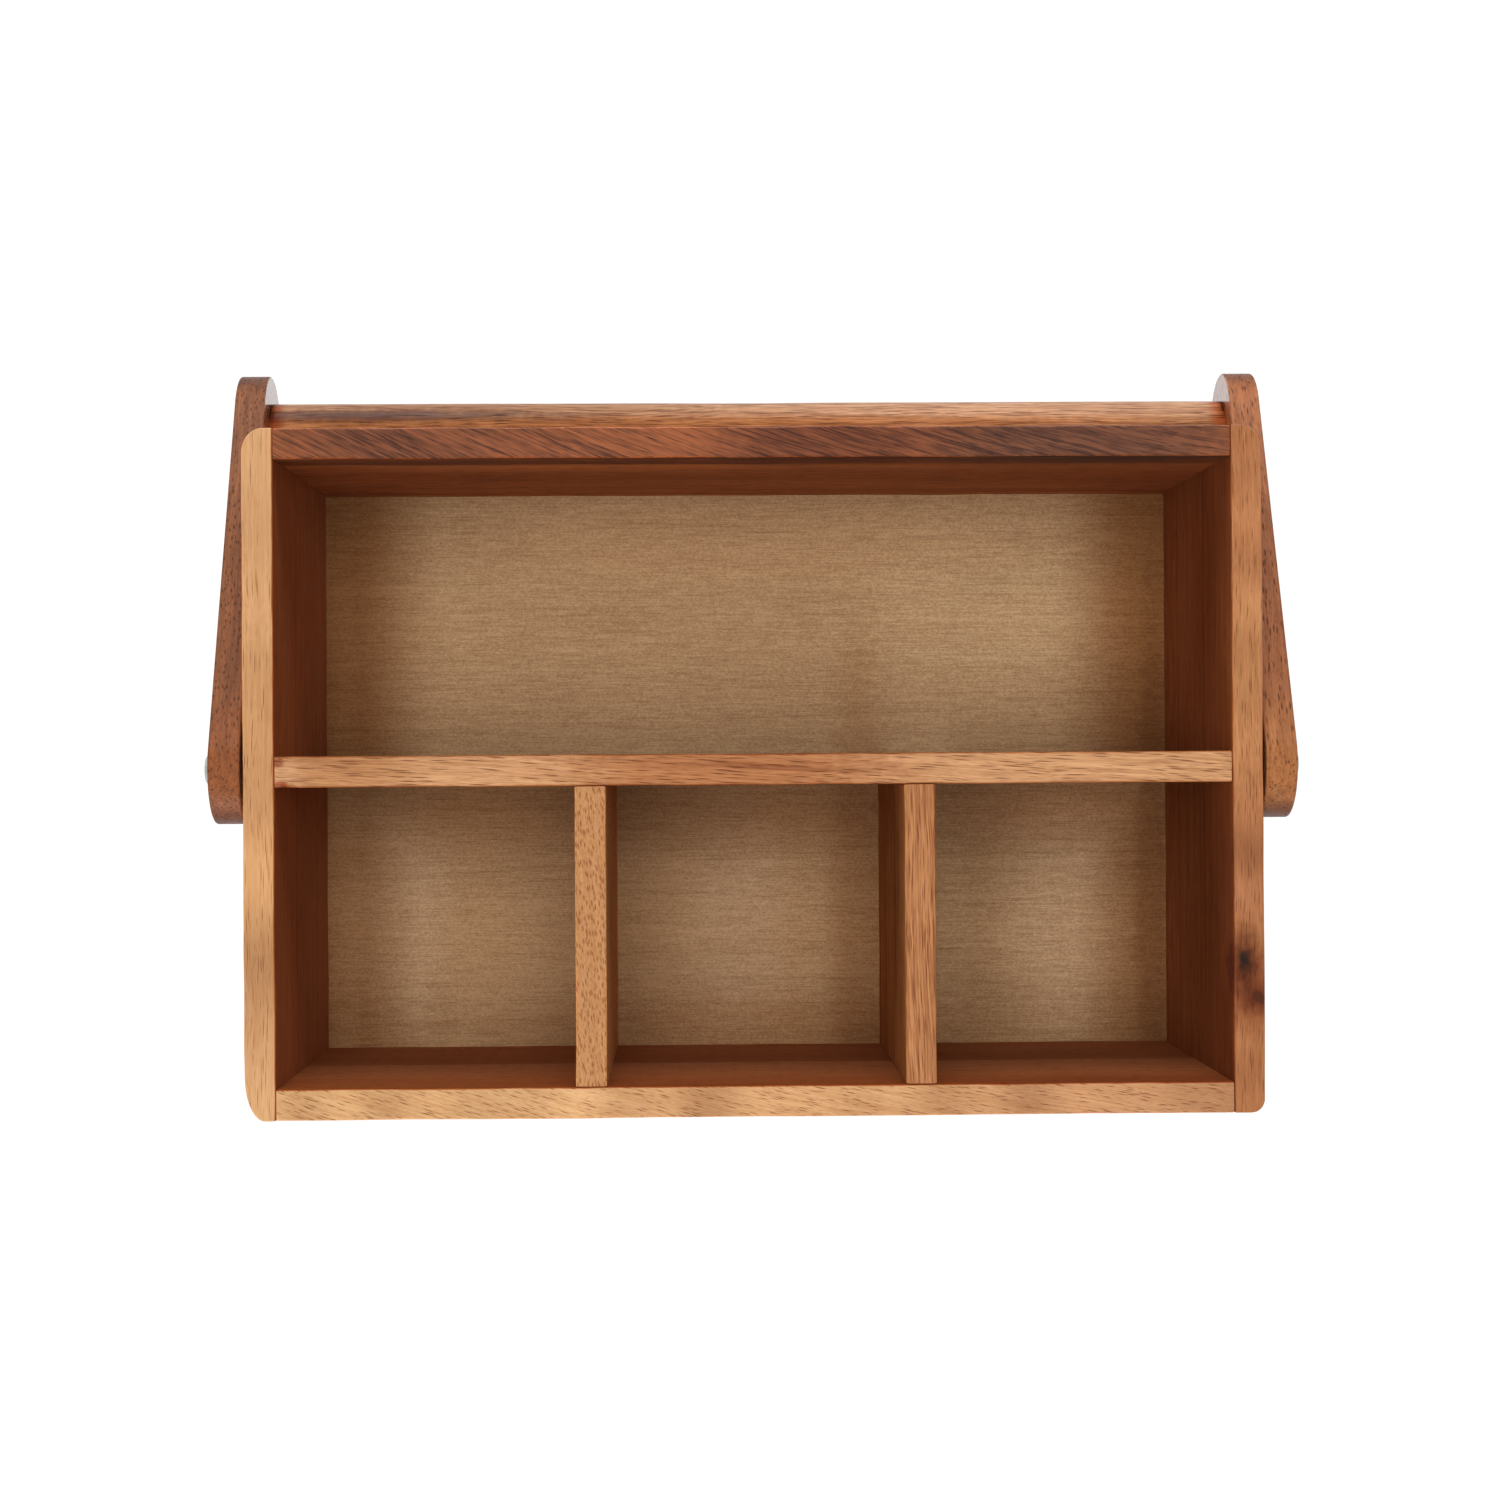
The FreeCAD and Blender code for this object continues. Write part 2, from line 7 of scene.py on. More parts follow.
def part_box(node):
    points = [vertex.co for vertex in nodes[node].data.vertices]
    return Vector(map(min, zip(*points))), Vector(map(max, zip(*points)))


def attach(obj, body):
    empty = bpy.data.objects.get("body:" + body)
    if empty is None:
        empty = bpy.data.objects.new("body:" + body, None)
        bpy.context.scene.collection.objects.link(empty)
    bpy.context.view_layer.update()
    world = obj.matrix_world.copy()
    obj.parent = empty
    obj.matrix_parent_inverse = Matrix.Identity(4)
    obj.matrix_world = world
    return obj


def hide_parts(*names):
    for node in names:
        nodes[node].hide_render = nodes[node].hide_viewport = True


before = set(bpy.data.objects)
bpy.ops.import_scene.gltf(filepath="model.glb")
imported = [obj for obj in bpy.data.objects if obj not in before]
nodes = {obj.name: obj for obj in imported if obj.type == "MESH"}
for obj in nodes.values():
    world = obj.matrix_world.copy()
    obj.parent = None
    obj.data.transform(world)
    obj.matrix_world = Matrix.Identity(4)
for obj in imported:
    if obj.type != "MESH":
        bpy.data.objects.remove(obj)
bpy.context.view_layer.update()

# Wooden tool tote with a drawer, in metres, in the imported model's own frame:
# X runs across it, +Y towards its back, Z up from the surface it stands on.
scene = bpy.context.scene
scene.view_settings.view_transform = "Standard"
chance = np.random.default_rng(11)
print("frame loaded:", len(nodes), "nodes")


# A shader node with its inputs set: a socket is linked, anything else becomes the input's value.
def addNode(tree, kind, inputs=None, **settings):
    made = tree.nodes.new("ShaderNode" + kind)
    for name, setting in settings.items():
        setattr(made, name, setting)
    for name, value in (inputs or {}).items():
        if isinstance(value, bpy.types.NodeSocket):
            tree.links.new(value, made.inputs[name])
        else:
            made.inputs[name].default_value = value
    return made


def useGroup(tree, group, inputs):
    return addNode(tree, "Group", inputs, node_tree=group).outputs


def calc(tree, operation, *values):
    return addNode(tree, "Math", dict(enumerate(values)), operation=operation).outputs[0]


# The product of two values, and what is added to it.
def times(tree, first, second, added=0.0):
    return calc(tree, "MULTIPLY_ADD", first, second, added)


def vectorCalc(tree, operation, *values):
    return addNode(tree, "VectorMath", dict(enumerate(values)), operation=operation).outputs[0]


def stretched(tree, vector, factors):
    return vectorCalc(tree, "MULTIPLY", vector, factors)


# One part of a vector: 0 for X, 1 for Y, 2 for Z.
def part(tree, vector, index):
    return addNode(tree, "SeparateXYZ", {0: vector}).outputs[index]


# Rises smoothly from 0 to 1 while the value goes from low to high.
def rise(tree, value, low, high):
    inputs = {"Value": value, "From Min": low, "From Max": high}
    return addNode(tree, "MapRange", inputs, interpolation_type="SMOOTHSTEP").outputs["Result"]


def fall(tree, value, low, high):
    return calc(tree, "SUBTRACT", 1.0, rise(tree, value, low, high))


def blendColours(tree, share, first, second, way="MIX"):
    inputs = {0: share, 6: first, 7: second}
    return addNode(tree, "Mix", inputs, data_type="RGBA", blend_type=way).outputs[2]


# The colour, multiplied by the tint as far as share says.
def tinted(tree, share, colour, tint):
    return blendColours(tree, share, colour, blendColours(tree, 1.0, colour, tint, "MULTIPLY"))


def noise(tree, vector, detail=2.0, roughness=0.5, scale=1.0, output="Fac"):
    inputs = {"Vector": vector, "Scale": scale, "Detail": detail, "Roughness": roughness}
    return addNode(tree, "TexNoise", inputs).outputs[output]


# A shift that changes smoothly from place to place, at most half of size to either side.
def wobble(tree, vector, detail, scale, size):
    field = noise(tree, vector, detail, scale=scale, output="Color")
    return stretched(tree, vectorCalc(tree, "SUBTRACT", field, (0.5, 0.5, 0.5)), size)


# An empty shader group, with the names of its inputs and outputs by their kind.
def newGroup(name, inputs, outputs):
    tree = bpy.data.node_groups.new(name, "ShaderNodeTree")
    for way, sockets in (("INPUT", inputs), ("OUTPUT", outputs)):
        for kind, names in sockets.items():
            for socketName in names:
                tree.interface.new_socket(socketName, in_out=way, socket_type="NodeSocket" + kind)
    return tree, tree.nodes.new("NodeGroupInput").outputs, tree.nodes.new("NodeGroupOutput").inputs


def connect(tree, sockets, values):
    for name, value in values.items():
        tree.links.new(value, sockets[name])


# Colour written as it looks on a screen, 0 to 255, turned into the shader's linear colour.
def paint(red, green, blue):
    levels = [level / 255 for level in (red, green, blue)]
    linear = [level / 12.92 if level < 0.04045 else ((level + 0.055) / 1.055) ** 2.4 for level in levels]
    return (*linear, 1.0)


grain = {
    # each noise: cycles a metre along and across the fibres, detail, roughness
    "noises": {
        "fibres": ((22.0, 1700.0, 1700.0), 3.0, 0.6),
        "tones": ((4.0, 30.0, 30.0), 2.0, 0.5),
        "bands": ((2.5, 60.0, 60.0), 2.0, 0.6),
        "streaks": ((9.0, 260.0, 260.0), 3.0, 0.6),
        "figure": ((42.0, 330.0, 330.0), 3.0, 0.6),
        "fineFigure": ((95.0, 1000.0, 1000.0), 3.0, 0.65),
    },
    # the share that weighs each field, and how far it then swings the depth of the colour
    "swings": {
        "rings": ("Ring Share", 0.5), "fibres": ("Fibre Share", 1.6), "figure": ("Figure Share", 3.2),
        "fineFigure": ("Fine Share", 4.0), "tones": ("Tone Share", 2.5),
    },
    "seedShift": (1.0, 0.37, 0.61),
    "waver": (26.0, 40.0, 40.0),            # cycles a metre
    "waverSize": (0.0, 0.0026, 0.0026),     # metres
    "pith": (0.0, 0.03, 0.05),              # where the line that the rings go round lies
    "ringStretch": (0.08, 1.0, 1.0),
    "waveTurns": 0.314,                     # a wave texture's spacing at scale 1
    "streakMix": (0.6, 0.4),                # of the streaks and the bands
    "streakStart": (0.70, -0.30),           # at share 0, and its change up to share 1
    "streakEdge": 0.12,
    "streakDepth": 0.8,
    "poreKinds": ((1.0, 1.0), (2.1, 0.5)),  # how many times finer than the grid, and how strong
    "poreEdge": (0.4, 1.3),                 # in pore sizes
    "poreDepth": 0.85,
    "roughness": (0.32, 0.16, 0.25),        # plain, more with the fibres, more in the pores
    "fibreHeight": 0.35,                    # as a share of a pore's depth
}


# Solid wood through and through. Growth rings are waves of the distance from the pith line, bent by
# noise; fibres, streaks and figure are noise drawn out along the grain, and pores are drawn-out cells.
def makeSolidWood():
    tree, given, result = newGroup("solidWood", {
        "Vector": ["Grain", "Pore Grid"], "Color": ["Pale", "Deep", "Streak", "Pore"],
        "Float": ["Seed", "Ring Width", "Ring Share", "Fibre Share", "Figure Share", "Fine Share",
                  "Streak Share", "Pore Share", "Pore Size", "Tone Share", "Tone"],
    }, {"Color": ["Color"], "Float": ["Roughness", "Height"]})
    seed = stretched(tree, given["Seed"], grain["seedShift"])
    place = vectorCalc(tree, "ADD", given["Grain"], seed)
    # the fibres waver a little as they run along
    drawn = stretched(tree, place, grain["waver"])
    place = vectorCalc(tree, "ADD", place, wobble(tree, drawn, 1.0, 1.0, grain["waverSize"]))
    fields = {name: noise(tree, stretched(tree, place, stretch), detail, roughness)
              for name, (stretch, detail, roughness) in grain["noises"].items()}
    fields["rings"] = addNode(tree, "TexWave", {
        "Vector": stretched(tree, given["Grain"], grain["ringStretch"]),
        "Scale": calc(tree, "DIVIDE", grain["waveTurns"], given["Ring Width"]),
        "Distortion": 11.0, "Detail": 4.0, "Detail Scale": 0.3, "Detail Roughness": 0.65,
        "Phase Offset": times(tree, given["Seed"], 9.0),
    }, wave_type="RINGS", rings_direction="X", wave_profile="SIN").outputs["Fac"]

    # every field swings the depth of the colour about its middle, weighed by its share
    deepness = calc(tree, "ADD", given["Tone"], 0.5)
    for name, (share, gain) in grain["swings"].items():
        swing = times(tree, calc(tree, "SUBTRACT", fields[name], 0.5), gain)
        deepness = times(tree, swing, given[share], deepness)
    deepness = addNode(tree, "Clamp", {0: deepness}).outputs[0]
    colour = blendColours(tree, deepness, given["Pale"], given["Deep"])

    ofStreaks, ofBands = grain["streakMix"]
    streakField = times(tree, fields["streaks"], ofStreaks, times(tree, fields["bands"], ofBands))
    start, change = grain["streakStart"]
    threshold = times(tree, given["Streak Share"], change, start)
    streaks = rise(tree, streakField, threshold, calc(tree, "ADD", threshold, grain["streakEdge"]))
    colour = blendColours(tree, times(tree, streaks, grain["streakDepth"]), colour, given["Streak"])

    # two sizes of pores, more of them where the bands are deep
    pores = 0.0
    crowd = times(tree, given["Pore Share"], times(tree, fields["bands"], 2.0))
    for finer, strength in grain["poreKinds"]:
        grid = stretched(tree, stretched(tree, given["Pore Grid"], (finer,) * 3), place)
        cells = addNode(tree, "TexVoronoi", {"Vector": grid, "Scale": 1.0, "Randomness": 1.0}).outputs
        dash = fall(tree, calc(tree, "DIVIDE", cells["Distance"], given["Pore Size"]), *grain["poreEdge"])
        kept = addNode(tree, "SeparateColor", {0: cells["Color"]}).outputs[0]
        shown = times(tree, calc(tree, "LESS_THAN", kept, crowd), strength)
        pores = calc(tree, "MAXIMUM", pores, times(tree, dash, shown))
    colour = blendColours(tree, times(tree, pores, grain["poreDepth"]), colour, given["Pore"])

    plain, ofFibres, ofPores = grain["roughness"]
    roughness = times(tree, fields["fibres"], ofFibres, plain)
    height = calc(tree, "SUBTRACT", times(tree, fields["fibres"], grain["fibreHeight"]), pores)
    roughness = times(tree, pores, ofPores, roughness)
    connect(tree, result, {"Color": colour, "Roughness": roughness, "Height": height})
    return tree


# Boards glued up from strips: each strip has its own grain, so it looks up the pattern elsewhere,
# and its own tone. A thin darker line shows where two strips meet.
def makeGluedStrips():
    tree, given, result = newGroup("gluedStrips", {"Vector": ["Vector"], "Float": ["Top", "Width", "Seed"]},
                                   {"Vector": ["Vector"], "Float": ["Tone", "First", "Seam"]})
    height = part(tree, given["Vector"], 2)
    count = calc(tree, "DIVIDE", calc(tree, "SUBTRACT", given["Top"], height), given["Width"])
    strip = calc(tree, "ADD", calc(tree, "FLOOR", count), given["Seed"])
    luck = addNode(tree, "TexWhiteNoise", {"W": strip}, noise_dimensions="1D").outputs
    shift = stretched(tree, luck["Color"], (1.0, 0.05, 0.05))
    within = times(tree, calc(tree, "PINGPONG", count, 0.5), given["Width"])
    connect(tree, result, {
        "Vector": vectorCalc(tree, "ADD", given["Vector"], shift),
        "Tone": calc(tree, "SUBTRACT", luck["Value"], 0.5),
        "First": calc(tree, "LESS_THAN", count, 1.0),
        "Seam": fall(tree, within, 0.0001, 0.0005),
    })
    return tree


# Ranges over which a part of a normal, or a height in metres, brings in a tint.
finish = {
    "faces": (0.2, 0.75),
    "ends": (0.6, 0.95),
    "arrises": (0.75, 0.93),
    "toRim": (0.07, 0.185),
    # the lip: a band of painted shade on the inner faces just below the rim
    "lip": (0.150, 0.164),
    "lipTint": (0.42, 0.42, 0.42, 1.0),
    "seamTint": (0.5, 0.42, 0.38, 1.0),
    "innerRoughness": 0.6,       # added on the inner faces
}


# Lacquer and cut on top of the wood: the inner faces are dull and have their own tints low down and
# at the rim, where a lip of painted shade may lie. So have the outer faces and end grain.
# Arrises take a painted highlight, paler than the faces.
def makeBoardFinish():
    tree, given, result = newGroup("boardFinish", {
        "Vector": ["Place", "Facing", "Along", "Inward"],
        "Color": ["Color", "Inner Tint", "Rim Tint", "Outer Tint", "End Tint", "Arris Highlight Tint"],
        "Float": ["Roughness", "Both Faces", "Seam", "Arris Highlight", "Lip Shade"],
    }, {"Color": ["Color"], "Float": ["Roughness"]})

    def facing(direction):
        inputs = {0: given["Facing"], 1: direction}
        return addNode(tree, "VectorMath", inputs, operation="DOT_PRODUCT").outputs["Value"]

    inward = facing(given["Inward"])
    other = times(tree, calc(tree, "ABSOLUTE", inward), given["Both Faces"])
    inner = rise(tree, calc(tree, "MAXIMUM", inward, other), *finish["faces"])
    roughness = times(tree, inner, finish["innerRoughness"], given["Roughness"])
    height = part(tree, given["Place"], 2)
    tint = blendColours(tree, rise(tree, height, *finish["toRim"]), given["Inner Tint"], given["Rim Tint"])
    # painted shade in a lip just below the rim
    lip = times(tree, rise(tree, height, *finish["lip"]), given["Lip Shade"])
    colour = tinted(tree, inner, given["Color"], tinted(tree, lip, tint, finish["lipTint"]))
    outward = calc(tree, "SUBTRACT", times(tree, inward, -1.0), other)
    colour = tinted(tree, rise(tree, outward, *finish["faces"]), colour, given["Outer Tint"])
    ends = rise(tree, calc(tree, "ABSOLUTE", facing(given["Along"])), *finish["ends"])
    colour = tinted(tree, ends, colour, given["End Tint"])
    colour = tinted(tree, given["Seam"], colour, finish["seamTint"])
    # on an arris no part of the normal is near 1: there a painted highlight makes the wood paler
    sides = addNode(tree, "SeparateXYZ", {0: vectorCalc(tree, "ABSOLUTE", given["Facing"])}).outputs
    largest = calc(tree, "MAXIMUM", sides[0], calc(tree, "MAXIMUM", sides[1], sides[2]))
    arrisHighlighted = times(tree, fall(tree, largest, *finish["arrises"]), given["Arris Highlight"])
    colour = tinted(tree, arrisHighlighted, colour, given["Arris Highlight Tint"])
    connect(tree, result, {"Color": colour, "Roughness": roughness})
    return tree


knotAndLightLook = {
    "bendScale": 330.0,
    "bend": (1.8, 1.8, 1.8),     # in knot sizes, as are the two below
    "halo": (0.9, 3.0),
    "core": (0.35, 1.2),
}


# A knot or a soft patch: the surface round its centre takes a tint, and its core another colour,
# with an edge bent by noise. The soft patches also serve as painted highlights and painted shade.
def makeKnotAndLightMark():
    tree, given, result = newGroup("knotAndLightPatch", {
        "Vector": ["Vector", "Centre", "Size"], "Color": ["Color", "Core", "Halo"],
        "Float": ["Core Share", "Halo Share"],
    }, {"Color": ["Color"]})
    away = vectorCalc(tree, "SUBTRACT", given["Vector"], given["Centre"])
    away = vectorCalc(tree, "DIVIDE", away, given["Size"])
    bend = wobble(tree, given["Vector"], 3.0, knotAndLightLook["bendScale"], knotAndLightLook["bend"])
    distance = addNode(tree, "VectorMath", {0: vectorCalc(tree, "ADD", away, bend)}, operation="LENGTH")
    distance = distance.outputs["Value"]
    halo = times(tree, fall(tree, distance, *knotAndLightLook["halo"]), given["Halo Share"])
    core = times(tree, fall(tree, distance, *knotAndLightLook["core"]), given["Core Share"])
    colour = tinted(tree, halo, given["Color"], given["Halo"])
    connect(tree, result, {"Color": blendColours(tree, core, colour, given["Core"])})
    return tree


veneer = {
    # each noise: cycles a metre in X, Y and Z, and how far it swings the colour's depth
    "noises": {
        "fineLines": ((110.0, 2400.0, 400.0), 1.5),
        "threads": ((40.0, 1300.0, 200.0), 0.6),
        "lines": ((7.0, 330.0, 60.0), 0.5),
        "blotches": ((9.0, 26.0, 5.0), 0.6),
        "sparkle": ((1300.0, 1900.0, 300.0), 2.2),
    },
    "fleckEdge": (0.60, 0.75),
    "fleckDepth": 0.25,
    "roughness": (0.36, 0.2),    # plain, more with the fine lines
    "plyEdge": (0.35, 0.65),
    "cutEdge": (0.4, 0.7),       # the upward part of a normal, over which a cut edge ends
}


# Rotary-cut veneer: fine straight lines drawn out along X, soft blotches and a fine sparkle. Near a wall
# it takes painted shade: shade is how near a point is to one.
def makeVeneer():
    tree, given, result = newGroup("veneer", {
        "Vector": ["Vector"], "Color": ["Pale", "Deep", "Fleck", "Shade Tint"], "Float": ["Shade"],
    }, {"Color": ["Color"], "Float": ["Roughness", "Height"]})
    fields = {}
    deepness = 0.5
    for name, (stretch, gain) in veneer["noises"].items():
        fields[name] = noise(tree, stretched(tree, given["Vector"], stretch), 2.0, 0.6)
        deepness = times(tree, calc(tree, "SUBTRACT", fields[name], 0.5), gain, deepness)
    deepness = addNode(tree, "Clamp", {0: deepness}).outputs[0]
    colour = blendColours(tree, deepness, given["Pale"], given["Deep"])
    flecks = times(tree, rise(tree, fields["threads"], *veneer["fleckEdge"]), veneer["fleckDepth"])
    colour = blendColours(tree, flecks, colour, given["Fleck"])
    plain, ofLines = veneer["roughness"]
    connect(tree, result, {
        "Color": tinted(tree, given["Shade"], colour, given["Shade Tint"]),
        "Roughness": times(tree, fields["fineLines"], ofLines, plain),
        "Height": fields["fineLines"],
    })
    return tree


# Where the painted shade starts to fade, in metres from each wall, and how strong it is there.
shadeLook = {
    "sideStart": 0.010, "crossStart": 0.012, "behindStart": 0.006,
    "cross": 0.3, "behind": 0.7, "frontBays": 0.2, "side": 0.93, "sideInFront": -0.2,
}


# How near a point of the tray floor is to a wall, 0 to 1, which sets the painted shade there: the sides,
# then the cross dividers and the long divider's front face, which only shade what lies in front of it.
def makeWallShade():
    tree, given, result = newGroup("wallShade", {
        "Vector": ["Vector"], "Float": ["Side", "Cross", "Divider", "Reach"],
    }, {"Float": ["Shade"]})
    across, along = addNode(tree, "SeparateXYZ", {0: given["Vector"]}).outputs[:2]
    width = calc(tree, "ABSOLUTE", across)
    toSide = calc(tree, "SUBTRACT", given["Side"], width)
    toCross = calc(tree, "ABSOLUTE", calc(tree, "SUBTRACT", width, given["Cross"]))
    toDivider = calc(tree, "SUBTRACT", given["Divider"], along)
    sides, crosses, behind = (fall(tree, away, shadeLook[start], given["Reach"]) for away, start in (
        (toSide, "sideStart"), (toCross, "crossStart"), (toDivider, "behindStart")))
    front = calc(tree, "LESS_THAN", along, given["Divider"])
    crosses = times(tree, crosses, shadeLook["cross"])
    inFront = calc(tree, "MAXIMUM", crosses, times(tree, behind, shadeLook["behind"]))
    inFront = times(tree, calc(tree, "MAXIMUM", inFront, shadeLook["frontBays"]), front)
    strength = times(tree, front, shadeLook["sideInFront"], shadeLook["side"])
    connect(tree, result, {"Shade": calc(tree, "MAXIMUM", times(tree, sides, strength), inFront)})
    return tree


solidWood = makeSolidWood()
gluedStrips = makeGluedStrips()
boardFinish = makeBoardFinish()
knotAndLightMark = makeKnotAndLightMark()
veneerSheet = makeVeneer()
wallShade = makeWallShade()

# for each way that the grain can run: that way, and the turn about Z that brings it there
grainAxes = {"X": ((1.0, 0.0, 0.0), 0.0), "Y": ((0.0, 1.0, 0.0), -math.pi / 2)}

# What a wood has unless its look says otherwise. slant turns the fibres of the top edge in plan and
# bend curves them, and tilt turns them all in the side view. Its one strip is taller than any board.
plainWood = {
    "strip": 9.0, "top": 5.0, "stripTone": 0.0, "tilt": 0.0, "slant": 0.0, "bend": 0.0, "fibreShare": 0.8,
    "figureShare": 0.15, "fineShare": 0.12, "toneShare": 0.3, "poreGrid": (95.0, 1250.0),
    "poreSize": 0.25, "inward": (0.0, 0.0, 0.0), "bothFaces": 0.0, "innerTint": (255, 255, 255),
    # the arris highlight and its tint: a painted highlight along the arrises
    "outerTint": (255, 255, 255), "endTint": (190, 170, 155), "arrisHighlight": 0.0, "arrisHighlightTint": (1.3, 1.28, 1.24, 1.0),
    "lipShade": 0.0, "gloss": 0.2, "patches": [],
}


# A soft patch of another tint, or with a core a knot, over the colour that is there.
# Soft patches also serve as painted highlights and painted shade.
def addPatch(tree, colour, place, centre, size, halo, haloShare=1.0, core=(66, 50, 42), coreShare=0.0):
    inputs = {"Color": colour, "Vector": place, "Centre": centre, "Size": size, "Halo": paint(*halo),
              "Halo Share": haloShare, "Core": paint(*core), "Core Share": coreShare}
    return useGroup(tree, knotAndLightMark, inputs)["Color"]


def newMaterial(name):
    material = bpy.data.materials.new(name)
    material.use_nodes = True
    tree = material.node_tree
    return material, tree, tree.nodes["Principled BSDF"], addNode(tree, "TexCoord").outputs


def linkSurface(tree, shader, colour, roughness, height, strength, distance):
    bump = addNode(tree, "Bump", {"Height": height, "Strength": strength, "Distance": distance}).outputs[0]
    connect(tree, shader.inputs, {"Base Color": colour, "Roughness": roughness, "Normal": bump})


# Lacquered wood cut as the look says.
def woodMaterial(name, look):
    look = plainWood | look
    lengthwise, across = look["poreGrid"]
    material, tree, shader, coordinates = newMaterial(name)
    place = coordinates["Object"]
    grainWay, turn = grainAxes[look["along"]]
    strips = useGroup(tree, gluedStrips, {"Vector": place, "Top": look["top"], "Width": look["strip"],
                                          "Seed": look["seed"]})

    def turned(angle):
        turns = (look["tilt"], 0.0, angle)
        inputs = {"Vector": strips["Vector"], "Rotation": turns, "Location": grain["pith"]}
        return addNode(tree, "Mapping", inputs).outputs[0]

    mapped = turned(turn)
    shares = {"Ring Share": look["ringShare"], "Fibre Share": look["fibreShare"],
              "Figure Share": look["figureShare"], "Fine Share": look["fineShare"],
              "Pore Share": look["poreShare"]}
    if "rim" in look:
        # the top edge cuts the fibres at a slant, and the faces show the grain in other shares
        atRim = calc(tree, "GREATER_THAN", part(tree, place, 2), look["rim"])
        along = part(tree, place, "XY".index(look["along"]))
        curve = times(tree, times(tree, along, along), look["bend"])
        curved = addNode(tree, "CombineXYZ", {1: curve}).outputs[0]
        slanted = vectorCalc(tree, "ADD", turned(turn - look["slant"]), curved)
        mapped = addNode(tree, "Mix", {0: atRim, 4: mapped, 5: slanted}, data_type="VECTOR").outputs[1]
        faces = look["faces"]
        shares = {share: times(tree, atRim, value - faces[share], faces[share])
                  for share, value in shares.items()}
    pale, deep = paint(*look["pale"]), paint(*look["deep"])
    if "topPale" in look:
        pale = blendColours(tree, strips["First"], pale, paint(*look["topPale"]))
        deep = blendColours(tree, strips["First"], deep, paint(*look["topDeep"]))
    wood = useGroup(tree, solidWood, {
        "Grain": mapped, "Seed": look["seed"], "Pale": pale, "Deep": deep,
        "Streak": paint(*look["streak"]), "Pore": paint(*look["pore"]), "Ring Width": look["ringWidth"],
        "Streak Share": look["streakShare"], "Pore Grid": (lengthwise, across, across),
        "Pore Size": look["poreSize"], "Tone Share": look["toneShare"],
        "Tone": times(tree, strips["Tone"], look["stripTone"]),
    } | shares)
    colour = wood["Color"]
    for spot in look["patches"]:
        colour = addPatch(tree, colour, place, *spot)
    finished = useGroup(tree, boardFinish, {
        "Color": colour, "Roughness": wood["Roughness"], "Place": place, "Facing": coordinates["Normal"],
        "Along": grainWay, "Inward": look["inward"], "Both Faces": look["bothFaces"],
        "Inner Tint": paint(*look["innerTint"]), "Rim Tint": paint(*look.get("rimTint", look["innerTint"])),
        "Outer Tint": paint(*look["outerTint"]), "End Tint": paint(*look["endTint"]),
        "Seam": strips["Seam"], "Arris Highlight": look["arrisHighlight"], "Arris Highlight Tint": look["arrisHighlightTint"], "Lip Shade": look["lipShade"],
    })
    linkSurface(tree, shader, finished["Color"], finished["Roughness"], wood["Height"],
                strength=0.35, distance=0.00025)
    if "coat" in look:
        # the face turned inward keeps its coat of lacquer, the others are rubbed down to a satin
        inward = times(tree, part(tree, coordinates["Normal"], 0), look["coat"])
        tree.links.new(rise(tree, inward, 0.7, 0.97), shader.inputs["Coat Weight"])
        shader.inputs["Coat Roughness"].default_value = 0.06
    shader.inputs["Specular IOR Level"].default_value = look["gloss"]
    return material


def veneerMaterial(name, look):
    material, tree, shader, coordinates = newMaterial(name)
    place = coordinates["Object"]
    shifted = vectorCalc(tree, "ADD", place, look.get("shift", (0.0, 0.0, 0.0)))
    pale, fleck = paint(*look["pale"]), paint(*look["fleck"])
    inputs = {"Vector": shifted, "Pale": pale, "Deep": paint(*look["deep"]), "Fleck": fleck}
    if "walls" in look:
        shade = useGroup(tree, wallShade, look["walls"] | {"Vector": place})["Shade"]
        inputs |= {"Shade": shade, "Shade Tint": paint(*look["shadeTint"])}
    sheet = useGroup(tree, veneerSheet, inputs)
    # the cut edges show the plies as thin bands, light and dark in turn
    plies = calc(tree, "PINGPONG", calc(tree, "DIVIDE", part(tree, place, 2), look["ply"]), 1.0)
    bands = blendColours(tree, rise(tree, plies, *veneer["plyEdge"]), pale, fleck)
    upward = calc(tree, "ABSOLUTE", part(tree, coordinates["Normal"], 2))
    colour = sheet["Color"]
    for spot in look.get("patches", ()):
        colour = addPatch(tree, colour, place, *spot)
    colour = blendColours(tree, fall(tree, upward, *veneer["cutEdge"]), colour, bands)
    linkSurface(tree, shader, colour, sheet["Roughness"], sheet["Height"], strength=0.25, distance=0.0002)
    shader.inputs["Specular IOR Level"].default_value = 0.25
    return material


metal = {
    "scratchEdge": (0.60, 0.72),
    "roughness": (0.18, 0.15, 0.3),    # plain, more in the scratches, more with the clouds
}


# Zinc-plated steel: a grey metal with cloudy roughness and fine scratches.
def steelMaterial(name, look):
    material, tree, shader, coordinates = newMaterial(name)
    place = coordinates["Object"]
    clouds = noise(tree, place, 4.0, scale=look["cloudScale"])
    drawn = stretched(tree, place, look["scratches"])
    scratches = rise(tree, noise(tree, drawn), *metal["scratchEdge"])
    colour = blendColours(tree, clouds, paint(*look["pale"]), paint(*look["deep"]))
    plain, ofScratches, ofClouds = metal["roughness"]
    roughness = times(tree, scratches, ofScratches, plain)
    roughness = times(tree, clouds, ofClouds, roughness)
    linkSurface(tree, shader, colour, roughness, scratches, strength=0.2, distance=0.0001)
    shader.inputs["Metallic"].default_value = 1.0
    return material


